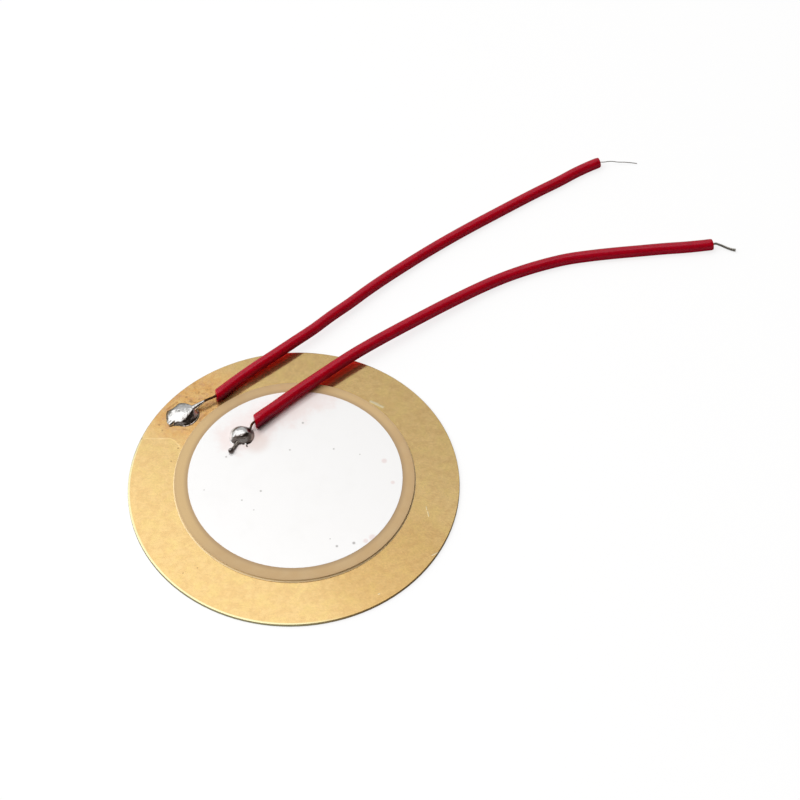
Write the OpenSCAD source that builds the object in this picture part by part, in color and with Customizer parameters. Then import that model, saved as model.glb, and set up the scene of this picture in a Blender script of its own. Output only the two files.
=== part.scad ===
// Piezo disc: a brass plate with a bonded, silvered ceramic disc and two soldered leads.
// Millimetres. The origin is the centre of the plate's underside, which lies on z = 0, and +Z is up.

/* [Brass plate] */
// Diameter of the plate
plate_d = 27; // [26:0.5:35]
// Thickness of the plate
plate_t = 0.3; // [0.2:0.05:0.4]
// Radius of the plate's rolled edge, top and bottom
plate_edge_r = 0.06; // [0.02:0.01:0.09]

/* [Ceramic disc] */
// Diameter of the ceramic disc
ceramic_d = 19.6; // [18:0.1:20.4]
// Thickness of the ceramic disc
ceramic_t = 0.2; // [0.15:0.01:0.35]
// Radius of the ceramic disc's top edge
ceramic_edge_r = 0.03; // [0.01:0.01:0.06]
// How far the ceramic disc sits off the plate's centre, towards the leads
ceramic_off_centre = 0.3; // [0:0.05:0.5]
// Diameter of the upper silver electrode
electrode_d = 17.5; // [15:0.1:18]
// Thickness of each silver electrode
electrode_t = 0.02; // [0.01:0.005:0.04]
// How far the upper electrode is printed off the ceramic's centre
print_off_centre = 0.1; // [0:0.05:0.3]
// Thickness of the bond between the plate and the ceramic
bond_t = 0.02; // [0.01:0.005:0.05]
// Width of the bead of bond that is squeezed out round the ceramic
bond_bead = 0.08; // [0.04:0.01:0.12]

/* [Solder joints] */
// Diameter of the plate joint's foot
plate_joint_d = 2.56; // [2.2:0.02:2.8]
// Height of the plate joint
plate_joint_h = 0.66; // [0.6:0.02:0.9]
// Length of the solder that has run up the strands of the plate joint
plate_wick = 1; // [0.4:0.1:1.4]
// Length of the tail of solder on the strands' cut end at the plate joint
plate_tail = 0.2; // [0:0.05:0.6]
// Diameter of the drop on the strands' cut end at the plate joint
plate_end_d = 0.36; // [0.34:0.01:0.38]
// Diameter of the electrode joint's foot
electrode_joint_d = 1.96; // [1.8:0.02:2.2]
// Height of the electrode joint
electrode_joint_h = 0.82; // [0.75:0.01:1]
// Length of the solder that has run up the strands of the electrode joint
electrode_wick = 0.05; // [0:0.05:0.2]
// Length of the strands' coated end that sticks out of the electrode joint
electrode_tail = 0.6; // [0.3:0.05:0.7]
// Distance of the electrode joint's middle from the electrode's edge
electrode_joint_inset = 2.55; // [2:0.05:4]
// Diameter of the drop on the strands' cut end at the electrode joint
electrode_end_d = 0.46; // [0.36:0.02:0.46]
// Height of the concave foot round each joint
foot_h = 0.14; // [0.08:0.01:0.2]
// Solder wall round the strands where they leave a joint
solder_wall = 0.03; // [0.02:0.01:0.06]
// Solder wall round the strands next to the drop
root_wall = 0.2; // [0.15:0.01:0.24]

/* [Leads] */
// Diameter of the plate lead
plate_lead_d = 0.95; // [0.8:0.05:0.95]
// Diameter of the electrode lead
electrode_lead_d = 1.02; // [0.8:0.02:1.02]
// Diameter of one strand
strand_d = 0.08; // [0.06:0.01:0.08]
// Gap between neighbouring strands
strand_gap = 0.006; // [0.004:0.001:0.01]
// Gap between the bundle of strands and what it runs through
bundle_gap = 0.004; // [0.003:0.001:0.02]
// Length in which the strands turn once inside the jacket
lay_length = 26; // [24:1:40]
// Length in which the strands turn once where they are twisted by hand
twist_length = 2; // [1.8:0.1:4]
// How far the strands of the plate lead that are cut short end inside the jacket
cut_back = 0.5; // [0.2:0.1:1]
// How far the strands spread at the electrode lead's tip
tip_spread = 0.05; // [0:0.01:0.08]
// Slant of each jacket's cut at its soldered end, in degrees
soldered_cut_slant = 28; // [0:1:40]
// Slant of the plate lead's cut at its free end, in degrees
plate_tip_cut_slant = 20; // [0:1:40]
// Slant of the electrode lead's cut at its free end, in degrees
electrode_tip_cut_slant = 6; // [0:1:40]

/* [Hidden] */
strand_count = 7;
strand_names = [for (lead = ["plate", "electrode"], i = [1:strand_count]) str(lead, "_lead_strand_", i)];

$fn = 96;
disc_fn = 180;
solder_fn = 32;
edge_steps = 4;      // steps in a rounded edge
strand_sides = 6;
jacket_sides = 8;
bare_steps = 3;      // rings to each point of the route where the strands are bare
turn = 360;
poke = 1;            // how far a cut runs past what it cuts

brass = "goldenrod";
silver = "gainsboro";
solder = "silver";
bond = "darkkhaki";
ceramic = "wheat";
pvc = "firebrick";
tinned = "lightgray";

// The stack, from the plate up
bond_z = plate_t;
lower_electrode_z = bond_z + bond_t;
ceramic_z = lower_electrode_z + electrode_t;
upper_electrode_z = ceramic_z + ceramic_t;
stack_top = upper_electrode_z + electrode_t;

// The ceramic sits off centre towards the leads, and the print a little further and more to the right
off_centre_angle = 80;
print_angle = 60;
ceramic_at = ceramic_off_centre * heading(off_centre_angle);
print_at = ceramic_at + print_off_centre * heading(print_angle);

// The plate joint stands midway between the ceramic and the plate's edge
plate_joint_angle = 143.5;
plate_joint_out = heading(plate_joint_angle);
plate_joint_at = plate_joint_out * (plate_d / 2 + ceramic_d / 2 + ceramic_at * plate_joint_out) / 2;
electrode_joint_angle = 137;
electrode_joint_at = print_at + (electrode_d / 2 - electrode_joint_inset) * heading(electrode_joint_angle);

// Bundle of strands
strand_pitch = strand_d + strand_gap;
bundle_r = strand_pitch + strand_d / 2;
bundle_bore_r = bundle_r + bundle_gap;

// Each lead is one route from its soldered end to its free tip, with x and y from the middle of its joint.
// The two soldered points have x and y as shares of the joint's radius, and the height of the strands over
// what they are soldered to. The jacketed points carry the gap under the jacket, and the tip's points their
// height as a share of the height of the jacket's end.
plate_lead_soldered = [[-0.59, -0.78, 0.2], [1.37, 0.82, 0.46]];
plate_lead_jacketed = [
    [2.75, 1.55, 0.04], [4.25, 2.95, 0.1], [5.85, 4.35, 0.2], [7.5, 5.7, 0.28], [9.1, 7.05, 0.33],
    [10.7, 8.45, 0.33], [12.2, 9.95, 0.29], [13.75, 11.4, 0.24], [15.25, 12.9, 0.18], [16.8, 14.35, 0.12],
    [18.4, 15.75, 0.07], [20, 17.1, 0.03], [21.65, 18.4, 0.01], [23.4, 19.7, 0], [25.1, 20.9, 0],
    [26.85, 22.1, 0], [28.6, 23.3, 0], [30.4, 24.5, 0], [32.2, 25.65, 0], [33.95, 26.85, 0], [35.9, 27.95, 0]
];
plate_lead_tip = [
    [36.35, 28, 1], [37, 28.15, 0.85], [37.65, 28.15, 0.65], [38.25, 28.2, 0.5], [38.8, 28.2, 0.35],
    [39.35, 28.2, 0.15]
];
electrode_lead_soldered = [[-0.77, -1.68, 0.24], [0.77, 0.41, 0.44]];
electrode_lead_jacketed = [
    [1.1, 1, 0.04], [2.65, 2.4, 0.07], [4.25, 3.85, 0.11], [5.9, 5.25, 0.16], [7.55, 6.65, 0.22],
    [9.2, 8, 0.28], [10.85, 9.25, 0.31], [12.65, 10.55, 0.32], [14.4, 11.8, 0.3], [16.15, 13.05, 0.26],
    [17.9, 14.25, 0.22], [19.7, 15.45, 0.15], [21.55, 16.55, 0.1], [23.45, 17.5, 0.05], [25.45, 18.3, 0.02],
    [27.5, 18.95, 0], [29.6, 19.35, 0], [31.7, 19.65, 0], [33.85, 19.9, 0], [36, 20.15, 0],
    [38.15, 20.35, 0], [40.35, 20.65, 0]
];
electrode_lead_tip = [
    [40.65, 20.75, 1], [41.05, 20.65, 0.85], [41.35, 20.55, 0.7], [41.75, 20.4, 0.55], [42.1, 20.3, 0.45],
    [42.4, 20.25, 0.42]
];

jacket_start = len(plate_lead_soldered);
plate_jacket_end = jacket_start + len(plate_lead_jacketed) - 1;
electrode_jacket_end = jacket_start + len(electrode_lead_jacketed) - 1;
landing = 0.6;       // share of its jacket over which a lead comes down to the table

plate_lead_route = lead_route(plate_lead_soldered, plate_lead_jacketed, plate_lead_tip,
                              plate_joint_at, plate_joint_d / 2, plate_t, plate_lead_d);
electrode_lead_route = lead_route(electrode_lead_soldered, electrode_lead_jacketed, electrode_lead_tip,
                                  electrode_joint_at, electrode_joint_d / 2, stack_top, electrode_lead_d);

// A jacket's stations are its points of the route. The plate lead's has one more, where the strands that
// are cut short end.
plate_last_stretch = plate_lead_route[plate_jacket_end] - plate_lead_route[plate_jacket_end - 1];
plate_cut = plate_jacket_end - cut_back / norm(plate_last_stretch);
plate_jacket_stations = concat([for (u = [jacket_start:plate_jacket_end - 1]) u],
                               [plate_cut, plate_jacket_end]);
electrode_jacket_stations = [for (u = [jacket_start:electrode_jacket_end]) u];

function heading(angle) = [cos(angle), sin(angle)];
function unit(v) = v / norm(v);
function flat(list) = [for (part = list, item = part) item];
function ease(t) = t ^ 2 * (3 - 2 * t);

// A lead's route from its three lists. What it lies on falls from the base's height to the table.
function lead_route(soldered, jacketed, tip, joint_at, joint_r, base, d) = concat(
    [for (p = soldered) [joint_at.x + joint_r * p.x, joint_at.y + joint_r * p.y, base + p.z]],
    [for (i = [0:len(jacketed) - 1])
        let (p = jacketed[i], fallen = ease(min(1, i / (len(jacketed) * landing))))
        [joint_at.x + p.x, joint_at.y + p.y, base * (1 - fallen) + p.z + d / 2]],
    [for (p = tip) [joint_at.x + p.x, joint_at.y + p.y, d / 2 * p.z]]
);

// Heading of the route at one of its points. It is that of the solder stretch up to where the solder ends.
function tangent(route, i) =
    i < jacket_start ? unit(route[1] - route[0])
    : i == len(route) - 1 ? unit(route[i] - route[i - 1])
    : unit(route[i + 1] - route[i - 1]);

// Place and direction at u, where whole numbers are the route's own points
function at(route, u) =
    let (i = min(floor(u), len(route) - 2), t = u - i, length = norm(route[i + 1] - route[i]))
    (2 * t ^ 3 - 3 * t ^ 2 + 1) * route[i] + (3 * t ^ 2 - 2 * t ^ 3) * route[i + 1]
    + length * ((t ^ 3 - 2 * t ^ 2 + t) * tangent(route, i) + (t ^ 3 - t ^ 2) * tangent(route, i + 1));
function direction(route, u) =
    let (i = min(floor(u), len(route) - 2), t = u - i, length = norm(route[i + 1] - route[i]))
    unit((6 * t ^ 2 - 6 * t) * (route[i] - route[i + 1])
         + length * (3 * t ^ 2 - 4 * t + 1) * tangent(route, i)
         + length * (3 * t ^ 2 - 2 * t) * tangent(route, i + 1));
function side(route, u) = unit(cross([0, 0, 1], direction(route, u)));
function over(route, u) = cross(direction(route, u), side(route, u));

// Length of the route up to u
function run(route, u) =
    u <= 0 ? 0
    : let (i = ceil(u) - 1) run(route, i) + (u - i) * norm(route[i + 1] - route[i]);

// A ring of points across the route at u, off the route's middle by the offset and slanted as a cut end is
function ring(route, u, r, sides, offset = [0, 0], slant = 0) = [
    for (k = [0:sides - 1])
        let (p = offset + r * heading(turn * (k + 0.5) / sides + turn / 4))
        at(route, u) + p.x * side(route, u) + p.y * over(route, u) + p.x * tan(slant) * direction(route, u)
];

// A solid through equal rings of points. It is capped, or closed on itself where loop is true.
module sweep(rings, loop = false) {
    count = len(rings);
    sides = len(rings[0]);
    last = loop ? count - 1 : count - 2;
    walls = [
        for (j = [0:last], k = [0:sides - 1], half = [0, 1])
            let (a = j * sides, b = ((j + 1) % count) * sides, next = (k + 1) % sides)
            half == 0 ? [a + k, b + k, b + next] : [a + k, b + next, a + next]
    ];
    caps = loop ? [] : [[for (k = [0:sides - 1]) k], [for (k = [sides - 1:-1:0]) (count - 1) * sides + k]];
    polyhedron(points = flat(rings), faces = concat(walls, caps));
}

// Children that stand along +Z are turned to run from one point towards another
module along(from, to) {
    d = to - from;
    translate(from) rotate([0, acos(d.z / norm(d)), atan2(d.y, d.x)]) children();
}

// The rounded quarter of an outline, from one angle to another about its middle
function rounded(middle, r, from, to) =
    [for (i = [0:edge_steps]) middle + r * heading(from + (to - from) * i / edge_steps)];

module brass_plate() {
    r = plate_d / 2;
    e = plate_edge_r;
    color(brass) rotate_extrude($fn = disc_fn)
        polygon(concat([[0, 0]], rounded([r - e, e], e, -90, 0), rounded([r - e, plate_t - e], e, 0, 90),
                       [[0, plate_t]]));
}

// The bond fills the joint under the lower electrode and stands as a small bead round the ceramic
module bond_layer() {
    r = ceramic_d / 2;
    neck = bond_bead / 3;    // the bead is concave: this far out at a third of its height
    color(bond) translate([ceramic_at.x, ceramic_at.y, bond_z]) rotate_extrude($fn = disc_fn)
        polygon([[0, 0], [r + bond_bead, 0], [r + neck, bond_t + neck], [r, bond_t + bond_bead],
                 [r, bond_t], [0, bond_t]]);
}

module silver_film(d, at, z) {
    color(silver) translate([at.x, at.y, z]) cylinder(d = d, h = electrode_t, $fn = disc_fn);
}

module lower_electrode() {
    silver_film(ceramic_d, ceramic_at, lower_electrode_z);
}

module ceramic_disc() {
    r = ceramic_d / 2;
    e = ceramic_edge_r;
    color(ceramic) translate([ceramic_at.x, ceramic_at.y, ceramic_z]) rotate_extrude($fn = disc_fn)
        polygon(concat([[0, 0], [r, 0]], rounded([r - e, ceramic_t - e], e, 0, 90), [[0, ceramic_t]]));
}

module upper_electrode() {
    silver_film(electrode_d, print_at, upper_electrode_z);
}

// A lobe or a dent of a joint's outline, as a share of its radius, centred on one angle
function lobe(angle, centre, width, share) =
    let (away = (angle - centre + 1.5 * turn) % turn - turn / 2) share * exp(-(away / width) ^ 2);

// A joint's outline, as a share of its radius. Each lobe is its angle, its width and its share.
function outline(angle, lobes) =
    let (shares = [for (l = lobes) lobe(angle, l[0], l[1], l[2])]) 1 + shares * [for (share = shares) 1];
plate_joint_lobes = [[135, 22, -0.16], [170, 12, 0.08], [228, 12, 0.22], [20, 40, 0.03]];
electrode_joint_lobes = [[293, 9, 0.26], [10, 30, 0.05], [60, 25, 0.04]];

plate_waist = 0.9;           // diameter of a joint's waist, as a share of its foot's
electrode_waist = 0.78;
plate_lean = [0.05, -0.05];  // how far a joint's crown leans from the middle of its foot
electrode_lean = [-0.02, 0.02];

// A drop of solder: a skirt that reaches under the metal's surface, where its joint is cut off, a concave
// foot that wets the metal, a waist and a crown. The lobes of its outline fade to round at the crown.
module solder_drop(foot_d, waist, h, lobes, lean) {
    sides = 36;
    skirt = 0.1;
    foot_steps = 4;
    crown_steps = 6;
    crown_angle = 86;        // the crown is this much of an ellipse's quarter, and then flat
    foot_r = foot_d / 2;
    waist_r = foot_r * waist;
    foot = [for (i = [0:foot_steps]) let (t = i / foot_steps)
        [waist_r + (foot_r - waist_r) * (1 - t) ^ 2, foot_h * t]];
    crown = [for (i = [1:crown_steps]) let (a = crown_angle * i / crown_steps)
        [waist_r * cos(a), foot_h + (h - foot_h) * sin(a)]];
    sweep([
        for (level = concat([[foot_r, -skirt]], foot, crown)) [
            for (k = [0:sides - 1])
                let (angle = turn * k / sides, rise = level[1] / h,
                     r = level[0] * (1 + (1 - rise ^ 2) * (outline(angle, lobes) - 1)))
                [r * cos(angle) + lean.x * rise, r * sin(angle) + lean.y * rise, level[1]]
        ]
    ]);
}

// Solder that coats the strands from inside the drop to one of their ends, thinning as it goes
coat_sink = 0.6;             // how far a coat starts inside its drop
module solder_coat(from, to) {
    along(from, to) cylinder(h = norm(to - from), r1 = bundle_bore_r + root_wall,
                             r2 = bundle_bore_r + solder_wall, $fn = solder_fn);
}

// The straight bore that the bundle of strands fills, from its buried end to past the solder
module strand_bore(route) {
    along(route[0], route[1])
        cylinder(h = norm(route[1] - route[0]) + poke, r = bundle_bore_r, $fn = solder_fn);
}

// A joint is a drop on what it is soldered to, with the strands through it: they leave it on one side in
// a wicked coat, and their cut end stands out of the other side under a drop of its own. Nothing of it
// reaches under the surface that it wets.
module solder_joint(route, joint_at, base, wick, tail, end_d) {
    start = route[0];
    leave = route[1];
    line = unit(leave - start);
    color(solder) difference() {
        union() {
            translate([joint_at.x, joint_at.y, base]) children();
            solder_coat(leave - (wick + coat_sink) * line, leave);
            solder_coat(start + (tail + coat_sink) * line, start);
            translate(start) sphere(d = end_d, $fn = solder_fn);
        }
        strand_bore(route);
        translate([joint_at.x, joint_at.y, base - poke]) cylinder(h = poke, r = norm(leave - start));
    }
}

module plate_solder_joint() {
    solder_joint(plate_lead_route, plate_joint_at, plate_t, plate_wick, plate_tail, plate_end_d)
        solder_drop(plate_joint_d, plate_waist, plate_joint_h, plate_joint_lobes, plate_lean);
}

module electrode_solder_joint() {
    solder_joint(electrode_lead_route, electrode_joint_at, stack_top, electrode_wick, electrode_tail,
                 electrode_end_d)
        solder_drop(electrode_joint_d, electrode_waist, electrode_joint_h, electrode_joint_lobes,
                    electrode_lean);
}

// A jacket is a hollow tube through its stations along the route. Its outside is cut off on a slant at
// both ends, and its bore squarely.
module jacket(route, d, stations, slants) {
    to_corner = 1 / cos(turn / 2 / jacket_sides);
    last = len(stations) - 1;
    function rings(r, order, slants = [0, 0]) = [
        for (j = order)
            ring(route, stations[j], r * to_corner, jacket_sides,
                 slant = j == 0 ? slants[0] : j == last ? slants[1] : 0)
    ];
    color(pvc) sweep(concat(rings(d / 2, [0:last], slants), rings(bundle_bore_r, [last:-1:0])), loop = true);
}

module plate_lead_jacket() {
    jacket(plate_lead_route, plate_lead_d, plate_jacket_stations,
           [soldered_cut_slant, plate_tip_cut_slant]);
}

module electrode_lead_jacket() {
    jacket(electrode_lead_route, electrode_lead_d, electrode_jacket_stations,
           [soldered_cut_slant, electrode_tip_cut_slant]);
}

// Where strand i lies in the bundle: the first is in the middle, and the others wind round it
function strand_offset(i, angle, spread = 0) =
    i == 1 ? [0, 0] : (strand_pitch + spread) * heading(angle + turn * (i - 2) / (strand_count - 1));

// A strand has a ring at each station of its jacket, one just short of them, and finer ones at its bare
// tip. It ends at the station or route point given as its end.
module strand(route, i, stations, end) {
    mouth = 0.08;    // share of the stretch before the jacket over which the strands run straight into it
    soldered = [0, 0.5, 1, jacket_start - mouth];
    jacketed = [for (u = stations) if (u <= end) u];
    jacket_end = stations[len(stations) - 1];
    bare = [for (u = [jacket_end + 1 / bare_steps:1 / bare_steps:end]) u];
    color(tinned) sweep([
        for (u = concat(soldered, jacketed, bare))
            let (bare_run = max(0, run(route, u) - run(route, jacket_end)),
                 angle = turn * (run(route, u) / lay_length + bare_run / twist_length),
                 spread = tip_spread * (max(0, u - jacket_end) / (len(route) - 1 - jacket_end)) ^ 3)
            ring(route, u, strand_d / 2, strand_sides, strand_offset(i, angle, spread))
    ]);
}

// The middle strand of the plate lead is the only one that is left at its free end
module plate_lead_strand(i) {
    strand(plate_lead_route, i, plate_jacket_stations, i == 1 ? len(plate_lead_route) - 1 : plate_cut);
}

module electrode_lead_strand(i) {
    strand(electrode_lead_route, i, electrode_jacket_stations, len(electrode_lead_route) - 1);
}

brass_plate();
bond_layer();
lower_electrode();
ceramic_disc();
upper_electrode();
plate_solder_joint();
electrode_solder_joint();
plate_lead_jacket();
electrode_lead_jacket();
for (i = [1:strand_count]) {
    plate_lead_strand(i);
    electrode_lead_strand(i);
}
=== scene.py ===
"""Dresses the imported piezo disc: its brass, ceramic, silver print, solder and two stranded leads.

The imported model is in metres, with +Z up and the plate's underside on z = 0. Sizes here are in
millimetres, as a maker would write them, and each finished mesh is brought to metres.
"""

import logging
import math
from dataclasses import dataclass
from enum import Enum
from functools import reduce
from typing import Any, Optional, Sequence, Union

import bpy
from mathutils import Matrix, Vector, noise


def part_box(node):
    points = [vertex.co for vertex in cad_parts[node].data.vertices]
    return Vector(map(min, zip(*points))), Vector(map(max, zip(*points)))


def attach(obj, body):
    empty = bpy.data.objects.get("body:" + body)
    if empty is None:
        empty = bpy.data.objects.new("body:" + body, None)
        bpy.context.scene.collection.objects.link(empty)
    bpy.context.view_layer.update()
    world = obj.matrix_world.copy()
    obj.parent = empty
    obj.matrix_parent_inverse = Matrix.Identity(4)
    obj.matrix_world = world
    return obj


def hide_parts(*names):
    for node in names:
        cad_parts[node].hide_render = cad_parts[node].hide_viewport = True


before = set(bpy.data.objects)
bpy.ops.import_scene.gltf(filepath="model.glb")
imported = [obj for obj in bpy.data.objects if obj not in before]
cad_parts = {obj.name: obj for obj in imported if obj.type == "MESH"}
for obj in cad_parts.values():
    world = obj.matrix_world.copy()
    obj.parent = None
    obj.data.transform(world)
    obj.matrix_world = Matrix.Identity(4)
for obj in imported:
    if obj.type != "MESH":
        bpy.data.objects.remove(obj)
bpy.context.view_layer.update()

MM = 0.001
UP = Vector((0, 0, 1))
LOG = logging.getLogger("piezo_disc")

Colour = tuple[float, float, float]
Point = tuple[float, float, float]
Flat = tuple[float, float]
# A round speck's x, y and radius, and a thin mark's x and y at both ends and its width
Speck = tuple[float, float, float]
Mark = tuple[float, float, float, float, float]
# A round spot's middle and radius, and a streak's two ends and its width
Spot = tuple[Point, float]
Streak = tuple[Point, Point, float]
# Where something begins to show, and where it shows in full
Fade = tuple[float, float]


class Mixing(Enum):
    """How one colour goes over another."""

    COVER = "MIX"
    DARKEN = "MULTIPLY"


class Slot(Enum):
    """The record's material slots."""

    BRASS = "brass"
    BOND = "bond"
    SILVER = "silver"
    CERAMIC = "ceramic"
    SOLDER = "solder"
    JACKET = "red_pvc"
    STRAND = "tinned_copper"


# --------------------------------------------------------------------------- shader maths


@dataclass(frozen=True)
class Signal:
    """A shader node's output that takes part in Python expressions."""

    shader: "Shader"
    socket: bpy.types.NodeSocket

    def _maths(self, operation: str, *values: "Value") -> "Signal":
        """Adds one Math node for an operation on the values."""
        return self.shader.node("ShaderNodeMath", {"operation": operation}, dict(enumerate(values)))

    def __add__(self, other: "Value") -> "Signal":
        """Sum of the two."""
        return self._maths("ADD", self, other)

    __radd__ = __add__

    def __sub__(self, other: "Value") -> "Signal":
        """This less the other."""
        return self._maths("SUBTRACT", self, other)

    def __rsub__(self, other: "Value") -> "Signal":
        """The other less this."""
        return self._maths("SUBTRACT", other, self)

    def __mul__(self, other: "Value") -> "Signal":
        """Product of the two."""
        return self._maths("MULTIPLY", self, other)

    __rmul__ = __mul__

    def __pow__(self, other: "Value") -> "Signal":
        """This to the power of the other."""
        return self._maths("POWER", self, other)

    def most(self, other: "Value") -> "Signal":
        """The larger of the two."""
        return self._maths("MAXIMUM", self, other)

    def least(self, other: "Value") -> "Signal":
        """The smaller of the two."""
        return self._maths("MINIMUM", self, other)

    def step(self, low: float, high: float) -> "Signal":
        """A smooth step of this value.

        Args:
            low: Value at which the step is 0.
            high: Value at which the step is 1. It may be below low.

        Returns:
            A value from 0 to 1.
        """
        rising = low < high
        return self.shader.node(
            "ShaderNodeMapRange",
            {"interpolation_type": "SMOOTHSTEP", "clamp": True},
            {
                "Value": self,
                "From Min": min(low, high),
                "From Max": max(low, high),
                "To Min": 0.0 if rising else 1.0,
                "To Max": 1.0 if rising else 0.0,
            },
        )


Value = Union[Signal, float, int, Sequence[float]]


class Shader:
    """A node tree that is written as expressions."""

    def __init__(self, tree: bpy.types.NodeTree) -> None:
        """Empties a node tree and takes it over."""
        self.tree = tree
        tree.nodes.clear()

    def feed(self, socket: bpy.types.NodeSocket, value: Value) -> None:
        """Gives an input socket what it gets.

        Args:
            socket: The input socket.
            value: A constant or a Signal. A colour may be given without its alpha.
        """
        if isinstance(value, Signal):
            self.tree.links.new(value.socket, socket)
        elif socket.type == "RGBA" and len(value) == 3:
            socket.default_value = (*value, 1)
        else:
            socket.default_value = value

    def node(
        self,
        kind: str,
        settings: Optional[dict[str, Any]] = None,
        values: Optional[dict[Union[str, int], Value]] = None,
        output: Union[str, int] = 0,
    ) -> Signal:
        """Adds a node.

        Args:
            kind: The node's type.
            settings: The node's own settings, which are set first.
            values: What its input sockets get, by name or number: a constant or a Signal.
            output: Which output to return.

        Returns:
            The chosen output.
        """
        made = self.tree.nodes.new(kind)
        for name, value in (settings or {}).items():
            setattr(made, name, value)
        for name, value in (values or {}).items():
            self.feed(made.inputs[name], value)
        return Signal(self, made.outputs[output] if made.outputs else None)

    def vector(self, operation: str, a: Value, b: Optional[Value] = None, output: int = 0) -> Signal:
        """A Vector Math node on one or two vectors."""
        values = {0: a} if b is None else {0: a, 1: b}
        return self.node("ShaderNodeVectorMath", {"operation": operation}, values, output)

    def scaled(self, vector: Value, share: Value) -> Signal:
        """A vector times a number."""
        return self.node("ShaderNodeVectorMath", {"operation": "SCALE"}, {0: vector, "Scale": share})

    def dot(self, a: Value, b: Value) -> Signal:
        """Dot product of two vectors."""
        return self.vector("DOT_PRODUCT", a, b, output=1)

    def length(self, vector: Value) -> Signal:
        """Length of a vector."""
        return self.vector("LENGTH", vector, output=1)

    def parts(self, vector: Signal) -> tuple[Signal, Signal, Signal]:
        """A vector's x, y and z."""
        split = self.node("ShaderNodeSeparateXYZ", None, {0: vector}).socket.node
        return tuple(Signal(self, split.outputs[k]) for k in range(3))

    def blend(self, share: Value, a: Value, b: Value, how: Mixing = Mixing.COVER) -> Signal:
        """A colour from a and b.

        Args:
            share: How much of b there is, from 0 to 1.
            a: First colour.
            b: Second colour.
            how: How b goes over a.

        Returns:
            The blended colour.
        """
        settings = {"data_type": "RGBA", "blend_type": how.value, "clamp_factor": True}
        return self.node("ShaderNodeMix", settings, {0: share, 6: a, 7: b}, output=2)


class SurfaceShader(Shader):
    """The shader of one finish: a Principled BSDF and what feeds it.

    Places and distances are in millimetres, and a place that isn't given is the surface's own.
    """

    def __init__(self, name: str) -> None:
        """Makes a material of that name with an empty Principled BSDF."""
        self.material = bpy.data.materials.new(name)
        self.material.use_nodes = True
        super().__init__(self.material.node_tree)
        surface = self.node("ShaderNodeBsdfPrincipled")
        self.bsdf = surface.socket.node
        self.node("ShaderNodeOutputMaterial", None, {"Surface": surface})
        self.place = self.scaled(self.node("ShaderNodeTexCoord", output="Object"), 1 / MM)

    def set(self, **values: Value) -> None:
        """Gives sockets of the Principled BSDF a constant or a Signal, with _ for a space."""
        for name, value in values.items():
            self.feed(self.bsdf.inputs[name.replace("_", " ")], value)

    def relief(self, height: Signal, depth: float) -> None:
        """Feeds the normal from a height of 0 to 1, where 1 is that depth."""
        bump = {"Strength": 1.0, "Distance": depth * MM, "Height": height}
        self.set(Normal=self.node("ShaderNodeBump", None, bump))

    def shifted(self, by: Point) -> Signal:
        """The surface's place with an offset, for noise that differs from other noise."""
        return self.vector("ADD", self.place, by)

    def stretched(self, by: Point) -> Signal:
        """The surface's place with each part times a number, for noise that runs one way."""
        return self.vector("MULTIPLY", self.place, by)

    def noise(
        self, per_mm: float, detail: float = 2.0, rough: float = 0.5, place: Optional[Signal] = None
    ) -> Signal:
        """Noise from about 0 to 1.

        Args:
            per_mm: Features to the millimetre.
            detail: Octaves of finer noise.
            rough: Strength of the finer noise.
            place: Where.

        Returns:
            The noise.
        """
        return self.node(
            "ShaderNodeTexNoise",
            {"noise_dimensions": "3D"},
            {"Vector": place or self.place, "Scale": per_mm, "Detail": detail, "Roughness": rough},
        )

    def from_point(self, at: Sequence[float]) -> Signal:
        """The surface's place from a point."""
        return self.vector("SUBTRACT", self.place, at)

    def distance(self, at: Sequence[float]) -> Signal:
        """How far the surface is from a point."""
        return self.vector("DISTANCE", self.place, at, output=1)

    def spot(self, at: Sequence[float], radius: float, place: Optional[Signal] = None) -> Signal:
        """A soft round spot: 1 in about its middle third and 0 from its radius on."""
        away = self.vector("DISTANCE", place or self.place, at, output=1)
        return away.step(radius, 0.35 * radius)

    def streak(self, start: Point, end: Point, width: float, place: Optional[Signal] = None) -> Signal:
        """A thin streak from one point to another.

        Args:
            start: First end.
            end: Other end.
            width: Its width.
            place: Where.

        Returns:
            1 on its middle line, 0 off it.
        """
        line = Vector(end) - Vector(start)
        away = self.vector("SUBTRACT", place or self.place, tuple(start))
        along = (self.dot(away, tuple(line)) * (1 / line.length_squared)).most(0).least(1)
        nearest = self.scaled(tuple(line), along)
        return self.length(self.vector("SUBTRACT", away, nearest)).step(width / 2, 0)

    def specks(self, z: float, specks: Sequence[Speck]) -> Signal:
        """Soft round specks on a level face, each an x, a y and a radius."""
        return reduce(Signal.most, [self.spot((x, y, z), radius) for x, y, radius in specks])

    def marks(self, z: float, marks: Sequence[Mark]) -> Signal:
        """Thin marks on a level face, each the x and y of both ends and a width."""
        streaks = [self.streak((ax, ay, z), (bx, by, z), width) for ax, ay, bx, by, width in marks]
        return reduce(Signal.most, streaks)


# --------------------------------------------------------------------------- layout


def heading(degrees: float) -> Vector:
    """Unit vector in the plane at an angle from +X."""
    return Vector((math.cos(math.radians(degrees)), math.sin(math.radians(degrees))))


def radius_of(node: str) -> float:
    """Radius of a packed disc, to the hundredth of a millimetre that its facets can be short by."""
    low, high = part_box(node)
    return round((high.x - low.x) / 2 / MM, 2)


def top_of(node: str) -> float:
    """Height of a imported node's top, to a hundredth of a millimetre."""
    return round(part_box(node)[1].z / MM, 2)


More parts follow.
